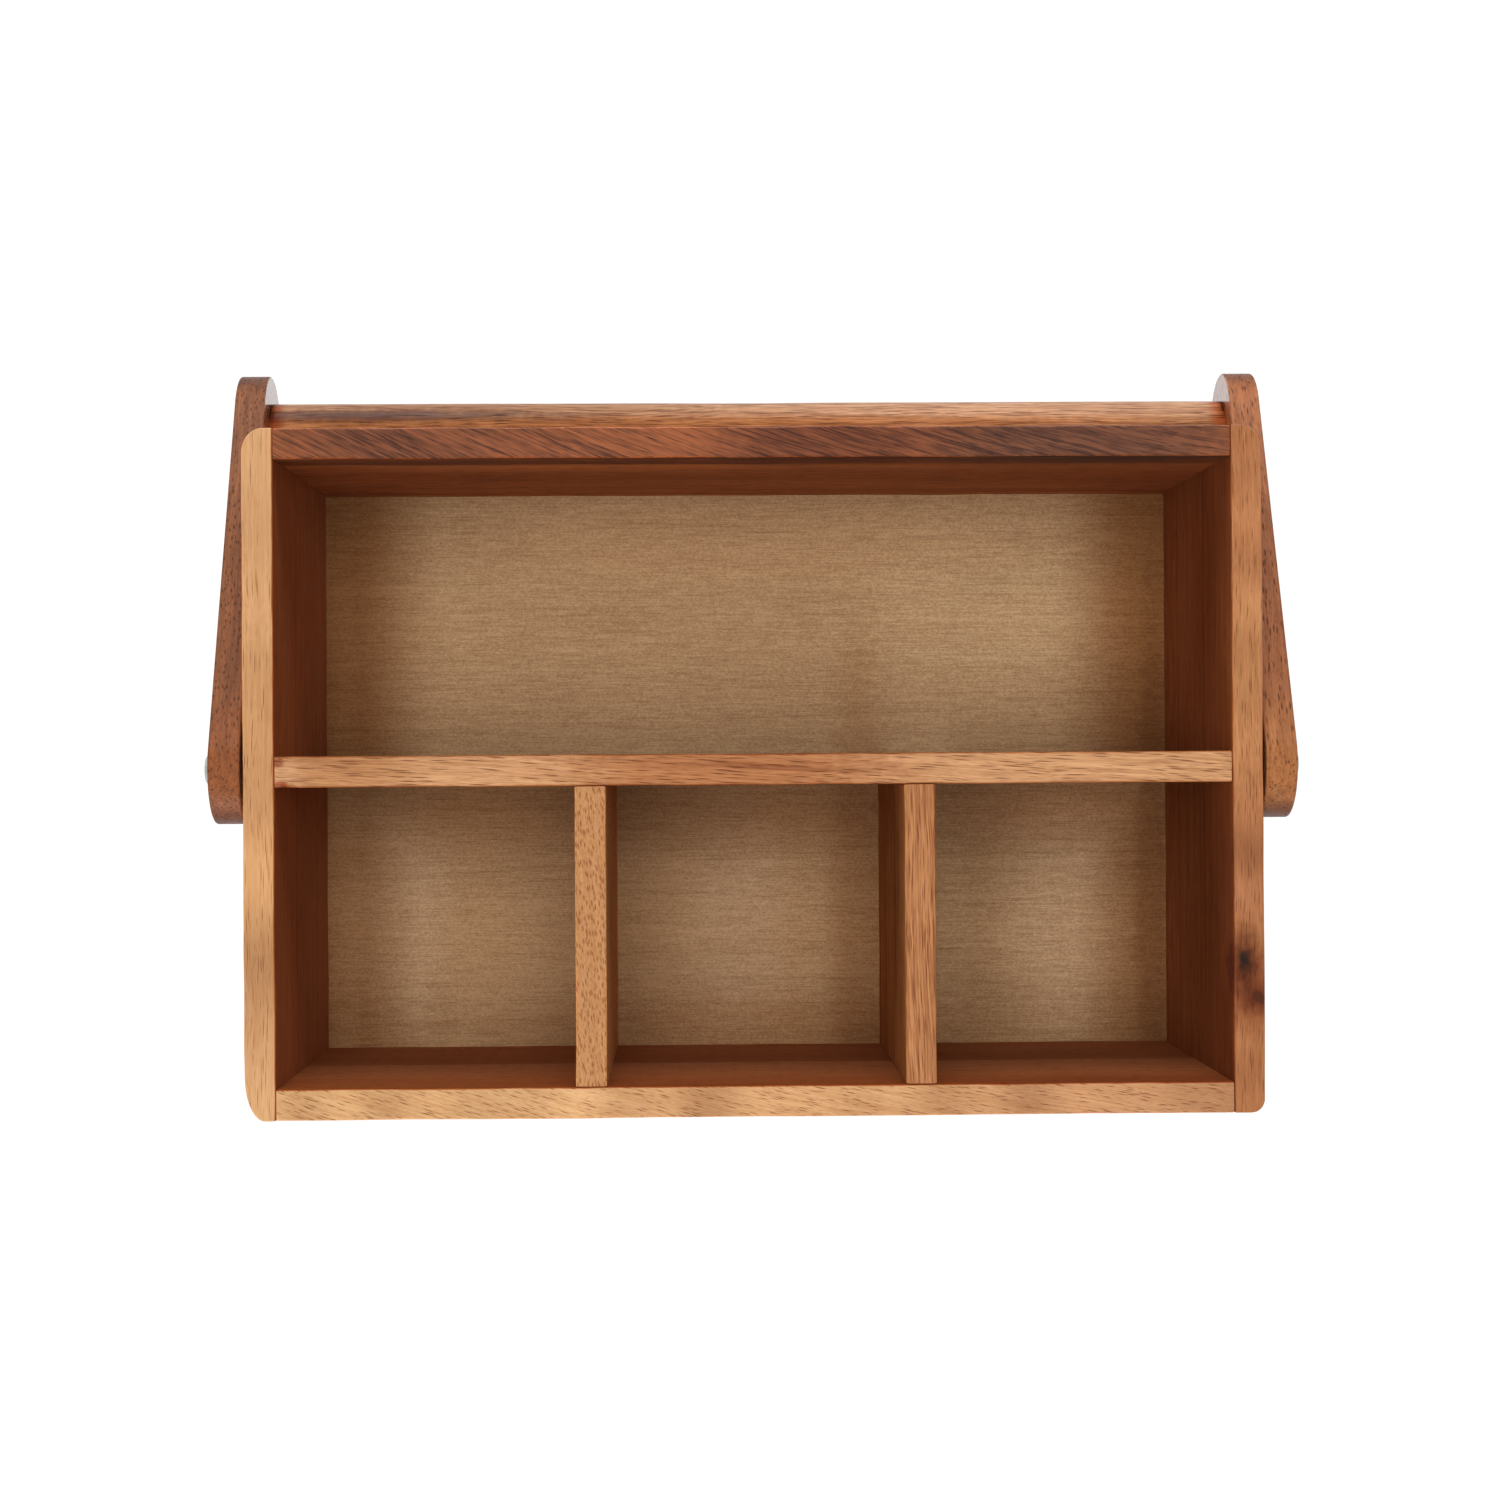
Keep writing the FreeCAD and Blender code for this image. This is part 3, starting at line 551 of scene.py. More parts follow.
# Looks, with colours and tints from 0 to 255: a tint above 255 makes the wood lighter. Patches and
# knots hold what addPatch takes, from the centre on.
tan = {
    "pale": (240, 193, 144), "deep": (214, 162, 113), "streak": (166, 112, 72), "pore": (158, 106, 66),
    # the arrises take a painted highlight
    "ringWidth": 0.0022, "ringShare": 0.15, "streakShare": 0.05, "poreShare": 0.8, "arrisHighlight": 0.8,
    "poreGrid": (150.0, 1250.0), "innerTint": (206, 175, 150), "outerTint": (238, 216, 198),
    "rim": 0.1746,
    "faces": {"Ring Share": 0.45, "Fibre Share": 0.8, "Figure Share": 0.3, "Fine Share": 0.4,
              "Pore Share": 0.8},
}
sideWood = tan | {"along": "Y", "strip": 0.044, "top": 0.1752, "stripTone": 0.25}
crossWood = tan | {"along": "Y", "inward": (1, 0, 0), "bothFaces": 1.0}
armWood = {"along": "Y", "tilt": 0.42, "ringWidth": 0.003, "ringShare": 0.2, "figureShare": 0.3,
           "fineShare": 0.3, "streakShare": 0.2, "poreSize": 0.3}
boxWood = tan | {"pale": (226, 182, 130), "deep": (202, 152, 102)}
woods = {
    "leftSideWood": sideWood | {
        "seed": 3.1, "inward": (1, 0, 0), "poreGrid": (60.0, 1900.0), "fineShare": 0.2,
        "innerTint": (190, 157, 148), "rimTint": (184, 132, 98),
        "patches": [((-0.147, -0.01, 0.175), (0.02, 0.028, 0.01), (246, 240, 232))],
    },
    "rightSideWood": sideWood | {
        "seed": 7.4, "inward": (-1, 0, 0), "pale": (206, 144, 98), "deep": (168, 107, 66),
        "streak": (150, 84, 50), "pore": (128, 76, 46), "streakShare": 0.2, "poreShare": 1.0,
        "poreGrid": (90.0, 1700.0), "fineShare": 0.25,
        "innerTint": (214, 194, 184), "rimTint": (186, 147, 113),
        "patches": [
            ((0.1455, -0.0575, 0.175), (0.0022, 0.0046, 0.006), (170, 144, 134), 0.9, (60, 46, 40), 1.0),
            ((0.15, -0.0685, 0.175), (0.003, 0.0022, 0.006), (200, 176, 166), 0.9, (84, 54, 40), 0.7),
            ((0.148, -0.066, 0.175), (0.005, 0.0055, 0.006), (214, 192, 186), 0.9),
            ((0.147, 0.028, 0.175), (0.02, 0.014, 0.01), (272, 283, 284)),
            ((0.147, -0.031, 0.175), (0.02, 0.007, 0.01), (239, 237, 242)),
        ],
    },
    "frontWood": tan | {
        "along": "X", "seed": 12.7, "slant": -0.24, "bend": -0.35, "inward": (0, 1, 0),
        "strip": 0.062, "top": 0.1752, "stripTone": 0.4, "topPale": (238, 190, 139),
        "topDeep": (208, 152, 103), "pale": (222, 166, 114), "deep": (194, 138, 92), "pore": (136, 80, 44),
        "poreShare": 2.6, "poreSize": 0.27, "poreGrid": (165.0, 1900.0), "figureShare": 0.08,
        "fibreShare": 1.2, "innerTint": (213, 188, 181), "rimTint": (172, 116, 77),
        "patches": [((0.118, -0.098, 0.175), (0.026, 0.02, 0.008), (238, 230, 232)),
                    ((-0.11, -0.098, 0.175), (0.03, 0.02, 0.008), (261, 268, 269))],
    },
    "backWood": {
        "along": "X", "seed": 21.3, "slant": -0.34, "bend": -0.52, "inward": (0, -1, 0),
        "strip": 0.044, "top": 0.2022, "stripTone": 0.3, "topPale": (158, 92, 58), "topDeep": (82, 49, 36),
        "pale": (188, 120, 78), "deep": (140, 84, 54), "streak": (66, 44, 38), "pore": (56, 36, 30),
        "ringWidth": 0.0025, "ringShare": 0.1, "figureShare": 0.14, "fineShare": 0.5, "fibreShare": 1.5,
        "streakShare": 0.15, "poreShare": 0.9, "poreSize": 0.24, "poreGrid": (90.0, 2100.0),
        # lipShade puts painted shade on the inner face just below the rim
        "toneShare": 0.9, "innerTint": (278, 278, 276), "rimTint": (239, 207, 160), "lipShade": 0.6,
        # a strong painted highlight along the arrises
        "outerTint": (250, 240, 235), "arrisHighlight": 1.0, "arrisHighlightTint": (2.6, 2.6, 2.6, 1.0), "rim": 0.1746,
        "faces": {"Ring Share": 0.4, "Fibre Share": 0.8, "Figure Share": 0.3, "Fine Share": 0.6,
                  "Pore Share": 0.8},
        "patches": [((0.103, 0.098, 0.175), (0.022, 0.012, 0.012), (196, 214, 246)),
                    ((0.02, 0.098, 0.175), (0.016, 0.012, 0.012), (206, 202, 212), 0.9),
                    ((-0.105, 0.098, 0.175), (0.018, 0.01, 0.012), (226, 232, 245), 0.9)],
    },
    "longDividerWood": tan | {
        "along": "X", "seed": 31.9, "inward": (0, 1, 0), "bothFaces": 1.0, "slant": -0.06,
        "pale": (215, 164, 119), "deep": (172, 121, 81), "streak": (146, 92, 58), "pore": (104, 60, 36),
        "streakShare": 0.35, "poreShare": 2.2, "poreSize": 0.3, "poreGrid": (85.0, 1700.0),
        "fibreShare": 1.4, "toneShare": 0.5, "figureShare": 0.12, "fineShare": 0.2,
        # a painted highlight along the arrises
        "arrisHighlightTint": (1.5, 1.45, 1.4, 1.0),
        "patches": [
            ((-0.008, 0.0, 0.175), (0.024, 0.02, 0.02), (220, 196, 180)),
            ((-0.122, 0.0, 0.175), (0.008, 0.02, 0.02), (236, 226, 216)),
            ((-0.14, 0.0, 0.175), (0.003, 0.02, 0.02), (264, 268, 276)),
            ((-0.1418, 0.0034, 0.175), (0.001, 0.0007, 0.004), (196, 160, 150)),
            ((-0.1408, -0.0032, 0.175), (0.0011, 0.0006, 0.004), (206, 158, 150)),
        ],
    },
    "leftCrossWood": crossWood | {
        "seed": 41.2, "slant": 0.12, "pale": (204, 153, 104), "deep": (176, 123, 79), "pore": (142, 82, 48),
        "poreShare": 2.4, "poreSize": 0.4, "poreGrid": (380.0, 1450.0), "innerTint": (279, 270, 254),
    },
    "rightCrossWood": crossWood | {
        "seed": 47.6, "slant": 0.03, "pale": (196, 137, 90), "deep": (142, 88, 53), "streak": (128, 68, 40),
        "pore": (108, 54, 32), "streakShare": 0.55, "figureShare": 0.2, "fineShare": 0.2, "fibreShare": 1.8,
        "poreShare": 2.0, "poreSize": 0.32, "poreGrid": (70.0, 1900.0), "innerTint": (249, 238, 208),
    },
    "leftArmWood": armWood | {
        "seed": 53.0, "pale": (154, 97, 61), "deep": (108, 65, 41), "streak": (92, 56, 44),
        "pore": (80, 48, 38), "poreShare": 1.4, "poreGrid": (380.0, 1150.0), "coat": 1.0,
        # the first patch is a painted highlight on the rounded rear end, by the bar
        "patches": [((-0.158, 0.118, 0.118), (0.02, 0.018, 0.02), (267, 271, 282)),
                    ((-0.158, 0.000, 0.172), (0.02, 0.01, 0.01), (266, 256, 248))],
    },
    "rightArmWood": armWood | {
        "seed": 59.5, "pale": (176, 113, 72), "deep": (128, 75, 46), "streak": (104, 60, 42),
        "pore": (86, 50, 36), "poreShare": 1.0, "poreGrid": (200.0, 1000.0), "coat": -1.0,
        # the first patch is a painted highlight on the rounded rear end, by the bar
        "patches": [((0.158, 0.118, 0.118), (0.02, 0.018, 0.02), (280, 282, 292)),
                    ((0.158, 0.045, 0.145), (0.02, 0.024, 0.02), (242, 238, 236)),
                    ((0.158, 0.000, 0.172), (0.02, 0.01, 0.01), (268, 276, 266))],
    },
    "barWood": {
        "along": "X", "seed": 66.1, "pale": (213, 162, 122), "deep": (164, 114, 80), "streak": (140, 90, 62),
        "pore": (104, 64, 46), "ringWidth": 0.003, "ringShare": 0.2, "figureShare": 0.25, "fineShare": 0.3,
        "fibreShare": 2.0, "streakShare": 0.35, "poreShare": 1.6, "poreSize": 0.32, "toneShare": 0.6,
        "poreGrid": (70.0, 1800.0), "gloss": 0.3,
        "patches": [
            ((-0.08, 0.108, 0.109), (0.04, 0.007, 0.006), (226, 218, 208)),
            ((-0.12, 0.1141, 0.1161), (0.028, 0.0013, 0.0013), (176, 168, 180), 1.0, (84, 60, 58), 0.6),
            # painted warm tint on the highlight line along the bar's top
            ((-0.06, 0.111, 0.1168), (0.1, 0.0013, 0.0013), (251, 226, 189)),
            # painted sheen on the bar's upper rear side
            ((0.085, 0.116, 0.114), (0.045, 0.002, 0.002), (272, 276, 285)),
            # painted shade on the bar where it meets each arm
            ((0.153, 0.1105, 0.109), (0.0022, 0.02, 0.02), (226, 168, 120)),
            ((-0.153, 0.1105, 0.109), (0.0022, 0.02, 0.02), (206, 150, 112)),
        ],
    },
    "drawerFrontWood": tan | {
        "along": "X", "seed": 71.8, "pale": (218, 154, 102), "deep": (178, 112, 68), "inward": (0, 1, 0),
        "innerTint": (240, 222, 210), "streakShare": 0.3, "figureShare": 0.3, "toneShare": 0.5,
    },
    "drawerBoxWood": boxWood | {"along": "Y", "seed": 83.3},
    "drawerBackWood": boxWood | {"along": "X", "seed": 87.3},
    "knobWood": {
        "along": "Y", "seed": 91.7, "pale": (180, 112, 74), "deep": (140, 80, 54), "streak": (92, 54, 42),
        "pore": (72, 42, 32), "ringWidth": 0.003, "ringShare": 0.7, "figureShare": 0.3, "streakShare": 0.3,
        "poreShare": 0.5, "endTint": (235, 225, 215),
    },
    "dowelWood": {
        "along": "X", "seed": 97.2, "pale": (226, 196, 152), "deep": (206, 168, 120), "streak": (176, 134, 90),
        "pore": (150, 110, 74), "ringWidth": 0.002, "ringShare": 0.5, "streakShare": 0.1, "poreShare": 0.3,
    },
}
veneers = {
    "floorPly": {
        "pale": (199, 165, 124), "deep": (161, 125, 88), "fleck": (124, 88, 58), "ply": 0.00125,
        # painted shade on the floor near the walls and dividers, in the shade tint
        "walls": {"Side": 0.1425, "Cross": 0.0491, "Divider": -0.004, "Reach": 0.042},
        "shadeTint": (192, 160, 128),
        # patches on the tray floor: the lighter ones are painted sheen and pools of light, the darker ones
        # painted shade by the walls and dividers
        "patches": [((x, y, 0.062), (wide, deep, 0.02), halo) for x, y, wide, deep, halo in (
            (-0.118, -0.048, 0.0075, 0.02, (270, 278, 290)), (-0.004, -0.048, 0.008, 0.022, (259, 263, 273)),
            (0.107, -0.05, 0.0095, 0.02, (274, 282, 296)), (0.085, 0.055, 0.024, 0.016, (272, 277, 282)),
            (0.000, 0.078, 0.045, 0.007, (268, 265, 264)), (0.06, -0.048, 0.006, 0.03, (282, 287, 292)),
            (0.138, -0.05, 0.0028, 0.05, (228, 216, 206)), (0.038, -0.06, 0.005, 0.05, (236, 224, 214)),
            (0.000, -0.088, 0.04, 0.005, (246, 236, 228)), (0.1, -0.01, 0.03, 0.006, (279, 281, 288)),
            (-0.137, -0.05, 0.0026, 0.05, (271, 275, 280)),
        )],
    },
    "bottomPly": {"pale": (206, 168, 122), "deep": (180, 138, 96), "fleck": (140, 102, 68), "ply": 0.0015,
                  "shift": (0.4, 0.2, 0.0)},
    "drawerPly": {"pale": (204, 168, 126), "deep": (178, 140, 100), "fleck": (140, 104, 72), "ply": 0.001,
                  "shift": (0.7, 0.5, 0.0)},
}
steels = {
    "screwSteel": {"pale": (200, 198, 192), "deep": (160, 158, 152), "cloudScale": 400.0,
                   "scratches": (300.0, 2500.0, 2500.0)},
    "washerSteel": {"pale": (206, 204, 198), "deep": (170, 168, 160), "cloudScale": 300.0,
                    "scratches": (2500.0, 400.0, 400.0)},
    "bradSteel": {"pale": (186, 184, 180), "deep": (146, 144, 140), "cloudScale": 500.0,
                  "scratches": (2500.0, 2500.0, 300.0)},
}
materials = {name: woodMaterial(name, look) for name, look in woods.items()}
materials |= {name: veneerMaterial(name, look) for name, look in veneers.items()}
materials |= {name: steelMaterial(name, look) for name, look in steels.items()}
print("materials made:", len(materials))


def addObject(name, data):
    made = bpy.data.objects.new(name, data)
    scene.collection.objects.link(made)
    return made


def addPiece(name, points, faces, body, material, replaced):
    mesh = bpy.data.meshes.new(name)
    mesh.from_pydata(points.tolist(), [], faces)
    mesh.polygons.foreach_set("use_smooth", np.ones(len(mesh.polygons), bool))
    mesh.update()
    mesh.materials.append(materials[material])
    piece = addObject(name, mesh)
    weighted = piece.modifiers.new("flatFaces", "WEIGHTED_NORMAL")
    weighted.keep_sharp = True
    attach(piece, body)
    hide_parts(*replaced)


# A slow wander along a board: the mean of a few cosines of random phase and wavelength, times size.
def wander(places, size, shortest=0.02, longest=0.12, count=5):
    lengths = chance.uniform(shortest, longest, count)
    phases = chance.uniform(0, 2 * math.pi, count)
    waves = np.cos(2 * math.pi * places[:, None] / lengths + phases)
    return size * waves.mean(axis=1)


# How far a rounded end has drawn in at some distance from it: an ellipse as long as reach, as deep as depth.
def endDraw(distance, reach, depth):
    left = np.clip(1 - distance / reach, 0, 1)
    return depth * (1 - np.sqrt(1 - left ** 2))


# Quads of a grid that closes on itself round each section, and strips that close both ends.
def gridFaces(rows, columns, flipped):
    row, column = np.meshgrid(np.arange(rows - 1), np.arange(columns), indexing="ij")
    following = (column + 1) % columns
    quads = np.stack([row * columns + column, row * columns + following,
                      (row + 1) * columns + following, (row + 1) * columns + column], axis=-1).reshape(-1, 4)
    near = np.arange(columns // 2)
    cap = np.stack([near, near + 1, columns - near - 1, (columns - near) % columns], axis=1)
    faces = quads.tolist()
    faces += [list(dict.fromkeys(face)) for face in (cap + (rows - 1) * columns).tolist()]
    faces += [list(dict.fromkeys(face))[::-1] for face in cap.tolist()]
    return [face[::-1] for face in faces] if flipped else faces


boardLook = {
    "step": 0.0018,          # between sections along a board
    "sideStep": 0.006,       # between points up its faces
    "arcPoints": 6,          # round each corner of a section
    "endPoints": 12,         # round each corner of the plan
    "easePoints": 6,         # along each eased end
    "dentPoints": (-1.5, -1, -0.7, -0.4, 0, 0.4, 0.7, 1, 1.5),    # in a dent's radii
    "underside": (0, 0.6),   # shares of half the width
    "topside": (0.7, 0.35, 0),
    "lowest": -0.99,         # the faces' lowest point, as a share of half the height
    "belowTop": 0.001,       # metres from their highest point to the rounding
    "wave": 0.00012,         # how much the faces and the rim wander
    "endEase": 0.0004,
    "easeTop": 0.0007,       # radius of the upper edges' rounding
    "easeLow": 0.0003,
    "easeWander": 0.5,       # how much of easeTop comes and goes
    "easeWaves": (0.01, 0.06),
    "widest": 0.45,          # a radius's greatest share of the thickness
}


# A board's section is a rectangle with rounded corners, symmetric about its middle. It is carried
# along the board, a little different at each place, and closed at each end by strips between
# mirrored points. ends gives the reach and depth of the plan's round corners, keyed by which end
# (0 low, 1 high) and which face (0 low, 1 high). dents are (along, across, height, radius, depth).
def boardSurface(node, along, ends, dents):
    low, high = (np.array(corner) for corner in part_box(node))
    wave, ease = boardLook["wave"], boardLook["endEase"]
    across = 1 - along
    start, stop = low[along], high[along]
    arcs = np.linspace(0, 1, boardLook["endPoints"])
    nearEnds = [ease * (1 - np.cos(arcs[:boardLook["easePoints"]] * math.pi))]
    nearEnds += [reach * (1 - np.cos(arcs * math.pi / 2)) for reach, depth in ends.values()]
    nearEnds = np.concatenate(nearEnds)
    marks = [dent[0] + spread * dent[3] for dent in dents for spread in boardLook["dentPoints"]]
    places = np.concatenate([np.arange(start, stop, boardLook["step"]), [start, stop], start + nearEnds,
                             stop - nearEnds, marks])
    places = np.unique(np.round(np.clip(places, start, stop), 5))

    # half a section, from the middle of the underside up one face to the middle of the top
    arc = np.linspace(0, math.pi / 2, boardLook["arcPoints"])
    tall = high[2] - low[2]
    sideShares = np.linspace(-1, 1, max(4, int(tall / boardLook["sideStep"])))[1:-1]
    sideShares = np.concatenate([[boardLook["lowest"]], sideShares, [1 - 2 * boardLook["belowTop"] / tall]])
    half = [(share, -1, 0, -1) for share in boardLook["underside"]]
    half += [(1, -1, math.sin(angle), -math.cos(angle)) for angle in arc]
    half += [(1, share, 1, 0) for share in sideShares]
    half += [(1, 1, math.cos(angle), math.sin(angle)) for angle in arc]
    half += [(share, 1, 0, 1) for share in boardLook["topside"]]
    half = np.array(half, float)
    mirrored = half[-2:0:-1] * (-1, 1, -1, 1)
    section = np.concatenate([half, mirrored])
    aSide, aTall, nSide, nTall = section.T

    count = len(places)
    fromStart, toStop = places - start, stop - places
    drawn = np.maximum(endDraw(fromStart, ease, ease), endDraw(toStop, ease, ease))
    edges = []
    for face in (0, 1):
        shrink = drawn.copy()
        for (end, side), (reach, depth) in ends.items():
            if side == face:
                shrink = np.maximum(shrink, endDraw((fromStart, toStop)[end], reach, depth))
        edges.append(shrink + wave + wander(places, wave))
    lowSide = (low[across] + edges[0])[:, None]
    highSide = (high[across] - edges[1])[:, None]
    top = (high[2] - drawn - wave + wander(places, wave))[:, None]
    bottom = (low[2] + drawn)[:, None] + np.zeros((count, 1))
    lowRadius, highRadius = (
        boardLook["easeTop"] * (1 + boardLook["easeWander"] * wander(places, 1.0, *boardLook["easeWaves"]))
        for side in (0, 1))
    sideShare = (1 + aSide) / 2
    topRadius = lowRadius[:, None] * (1 - sideShare) + highRadius[:, None] * sideShare
    tallShare = (1 + aTall) / 2
    radius = boardLook["easeLow"] * (1 - tallShare) + topRadius * tallShare
    radius = np.minimum(radius, (highSide - lowSide) * boardLook["widest"])

    sideways = (lowSide + highSide) / 2 + aSide * ((highSide - lowSide) / 2 - radius) + radius * nSide
    upward = (bottom + top) / 2 + aTall * ((top - bottom) / 2 - radius) + radius * nTall
    lengthways = places[:, None] + np.zeros_like(sideways)
    for at, over, height, size, depth in dents:
        away = np.sqrt((lengthways - at) ** 2 + (sideways - over) ** 2 + (upward - height) ** 2)
        push = depth * np.exp(-(away / size) ** 2)
        sideways = sideways - push * nSide
        upward = upward - push * nTall

    points = np.empty((count, len(section), 3))
    points[..., along] = lengthways
    points[..., across] = sideways
    points[..., 2] = upward
    return points, gridFaces(count, len(section), along == 1)


boards = {
    "leftSide": {"node": "left_side_board", "along": 1, "slot": "side_wood",
                 "ends": {(0, 0): (0.0135, 0.0060), (1, 0): (0.0076, 0.0064)}},
    "rightSide": {"node": "right_side_board", "along": 1, "slot": "side_wood",
                  "ends": {(0, 1): (0.0042, 0.0040), (1, 1): (0.0070, 0.0062)}},
    "front": {"node": "front_board", "along": 0, "slot": "front_wood"},
    "back": {"node": "back_board", "along": 0, "slot": "back_wood"},
    "longDivider": {"node": "long_divider", "along": 0, "slot": "divider_wood",
                    "dents": [(-0.1392, -0.0042, 0.1748, 0.0011, 0.0009),
                              (-0.1372, -0.0042, 0.1748, 0.0009, 0.0007),
                              (-0.1405, 0.0055, 0.1748, 0.0012, 0.0008)]},
    "leftCross": {"node": "left_cross_divider", "along": 1, "slot": "divider_wood"},
    "rightCross": {"node": "right_cross_divider", "along": 1, "slot": "divider_wood"},
    "drawerFront": {"node": "drawer_front", "along": 0, "slot": "drawer_front_wood", "body": "drawer"},
    "drawerLeft": {"node": "drawer_left_side", "along": 1, "slot": "drawer_box_wood", "body": "drawer",
                   "material": "drawerBoxWood"},
    "drawerRight": {"node": "drawer_right_side", "along": 1, "slot": "drawer_box_wood", "body": "drawer",
                    "material": "drawerBoxWood"},
    "drawerBack": {"node": "drawer_back", "along": 0, "slot": "drawer_box_wood", "body": "drawer"},
}
for name, board in boards.items():
    points, faces = boardSurface(board["node"], board["along"], board.get("ends", {}), board.get("dents", ()))
    addPiece(name, points.reshape(-1, 3), faces, board.get("body", "case"),
             board.get("material", name + "Wood"), [board["node"]])
print("boards made:", len(boards))

barLook = {
    "rows": 150,
    "columns": 64,
    "wear": 0.00012,
    "wearWaves": (0.03, 0.2),    # their shortest and longest
    "lobes": 0.4,                # how much more it is worn on two sides than between them
    "lobeTurn": 30,              # radians a metre
}


# The grip is a circle carried along X, slimmer by a little wear that comes and goes along it and
# is stronger on two sides, which turn slowly round it. Strips close both ends.
def makeBar():
    low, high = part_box("grip_bar")
    radius = (high.z - low.z) / 2
    places = np.linspace(low.x, high.x, barLook["rows"])
    angles = np.linspace(0, 2 * math.pi, barLook["columns"], endpoint=False) - math.pi / 2
    slim = barLook["wear"] * (1 + wander(places, 1.0, *barLook["wearWaves"]))
    lobes = 1 + barLook["lobes"] * np.cos(2 * angles + barLook["lobeTurn"] * places[:, None])
    size = radius - slim[:, None] * lobes
    points = np.empty((len(places), len(angles), 3))
    points[..., 0] = places[:, None]
    points[..., 1] = (low.y + high.y) / 2 + size * np.cos(angles)
    points[..., 2] = (low.z + high.z) / 2 + size * np.sin(angles)
    faces = gridFaces(len(places), len(angles), False)
    addPiece("gripBar", points.reshape(-1, 3), faces, "handle", "barWood", ["grip_bar"])


makeBar()

# The nodes that keep their own shape, by the material that they take.
nodeMaterials = {
    "leftArmWood": ["left_arm"],
    "rightArmWood": ["right_arm"],
    "floorPly": ["tray_floor"],
    "bottomPly": ["case_bottom"],
    "drawerPly": ["drawer_bottom"],
    "knobWood": ["drawer_knob"],
    "dowelWood": ["corner_dowels", "divider_dowels", "drawer_dowels"],
    "bradSteel": ["bottom_brads"],
    "screwSteel": ["left_pivot_screw", "right_pivot_screw", "left_bar_screw", "right_bar_screw", "knob_screw"],
    "washerSteel": ["left_spacer_washer", "right_spacer_washer", "left_head_washer", "right_head_washer",
                    "knob_screw_washer"],
}
for material, names in nodeMaterials.items():
    for name in names:
        for place in nodes[name].material_slots:
            place.material = materials[material]
print("CAD pieces finished:", sum(len(names) for names in nodeMaterials.values()))

studio = {
    "floorHalf": 6.0,
    "paper": (0.9, 0.9, 0.9, 1.0),
    "glow": 1.12,
    "glowShare": 0.86,           # share of the floor that shows as plain white
    "sky": 0.12,                 # what rays see that aren't shown white
    "ceiling": (0.5, 0.85),      # upward part of a reflected ray, over which the white backdrop ends
    "aim": (0.0, 0.0, 0.15),
    # the rear lamp is low: it lights the upper part of the faces turned to it and lines the rear edges
    "lamps": {
        "ceilingLamp": {"place": (-0.08, 0.04, 1.655), "size": (1.2, 1.0), "power": 19.5, "shines": False},
        "rearLamp": {"place": (0.0, 1.25, 0.85), "size": (1.5, 0.5), "power": 9.0, "shines": True},
        "frontLamp": {"place": (-0.5, -1.7, 0.6), "size": (1.6, 0.8), "power": 16.0, "shines": True},
    },
    "lampColour": (1.0, 0.97, 0.93),
}


# Reflections see the white backdrop low down and the dim ceiling between the lamps overhead.
def makeSky():
    world = bpy.data.worlds.new("studio")
    scene.world = world
    world.use_nodes = True
    tree = world.node_tree
    sky = tree.nodes["Background"]
    sky.inputs["Color"].default_value = (1, 1, 1, 1)
    upward = part(tree, addNode(tree, "TexCoord").outputs["Generated"], 2)
    path = addNode(tree, "LightPath").outputs
    mirrored = calc(tree, "MAXIMUM", path["Is Glossy Ray"], path["Is Transmission Ray"])
    reflected = times(tree, mirrored, fall(tree, upward, *studio["ceiling"]))
    white = calc(tree, "MAXIMUM", path["Is Camera Ray"], reflected)
    strength = times(tree, white, 1 - studio["sky"], studio["sky"])
    tree.links.new(strength, sky.inputs["Strength"])


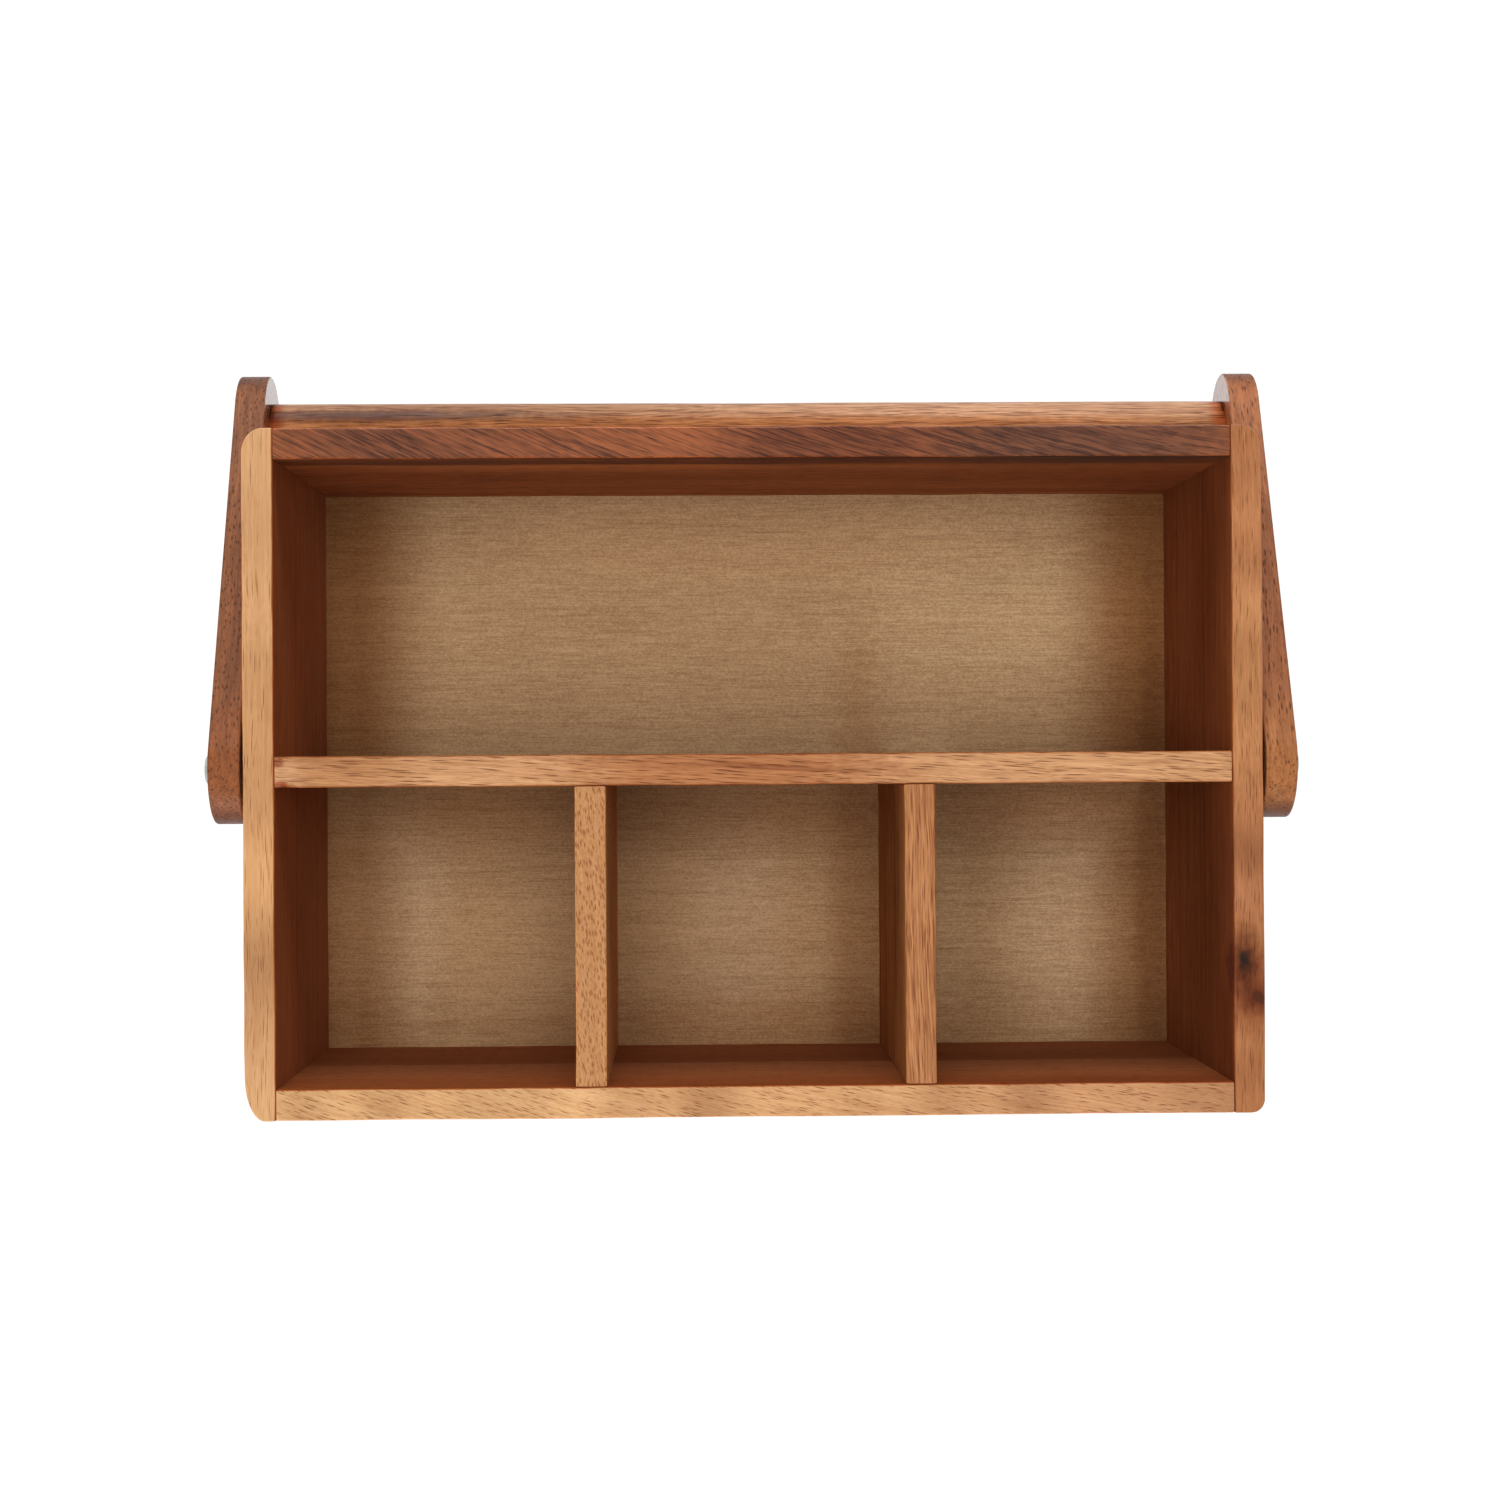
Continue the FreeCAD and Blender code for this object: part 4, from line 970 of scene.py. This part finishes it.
# White paper: camera, glossy and transmission rays see it glow, other rays see it as it is lit.
def makeFloor():
    half = studio["floorHalf"]
    corners = [(-half, -half, 0), (half, -half, 0), (half, half, 0), (-half, half, 0)]
    mesh = bpy.data.meshes.new("floor")
    mesh.from_pydata(corners, [], [(0, 1, 2, 3)])
    addObject("floor", mesh)
    paper = bpy.data.materials.new("paper")
    paper.use_nodes = True
    tree = paper.node_tree
    tree.nodes.remove(tree.nodes["Principled BSDF"])
    path = addNode(tree, "LightPath").outputs
    direct = calc(tree, "MAXIMUM", path["Is Camera Ray"], path["Is Glossy Ray"])
    seen = calc(tree, "MAXIMUM", direct, path["Is Transmission Ray"])
    dull = addNode(tree, "BsdfDiffuse", {"Color": studio["paper"]}).outputs[0]
    glow = addNode(tree, "Emission", {"Color": (1, 1, 1, 1), "Strength": studio["glow"]}).outputs[0]
    mixed = addNode(tree, "MixShader", {0: times(tree, seen, studio["glowShare"]), 1: dull, 2: glow})
    tree.links.new(mixed.outputs[0], tree.nodes["Material Output"].inputs["Surface"])
    mesh.materials.append(paper)


def makeLamps():
    for name, lampLook in studio["lamps"].items():
        light = bpy.data.lights.new(name, "AREA")
        light.shape = "RECTANGLE"
        light.size, light.size_y = lampLook["size"]
        light.energy = lampLook["power"]
        light.color = studio["lampColour"]
        lamp = addObject(name, light)
        place = Vector(lampLook["place"])
        turned = (Vector(studio["aim"]) - place).to_track_quat("-Z", "Y").to_matrix().to_4x4()
        lamp.matrix_world = Matrix.Translation(place) @ turned
        lamp.visible_glossy = lampLook["shines"]     # the ceiling lamp would veil what faces up


makeSky()
makeFloor()
makeLamps()

view = {
    "place": (-0.017657, 0.004300, 0.953943),
    "turns": (-0.0027, 0.0208, 0.0062),     # about X, then Y, then Z, in radians
    "focalShare": 2620.464 / 1500,          # focal length as a share of the picture's width
    "sensor": 36.0,
}


def makeCamera():
    lens = bpy.data.cameras.new("camera")
    lens.sensor_width = view["sensor"]
    lens.lens = view["focalShare"] * view["sensor"]
    camera = addObject("camera", lens)
    turnX, turnY, turnZ = (Matrix.Rotation(angle, 3, axis) for angle, axis in zip(view["turns"], "XYZ"))
    turned = (turnZ @ turnY @ turnX).transposed().to_4x4()
    camera.matrix_world = Matrix.Translation(Vector(view["place"])) @ turned
    scene.camera = camera


makeCamera()
print("studio and camera made")

bpy.context.view_layer.update()
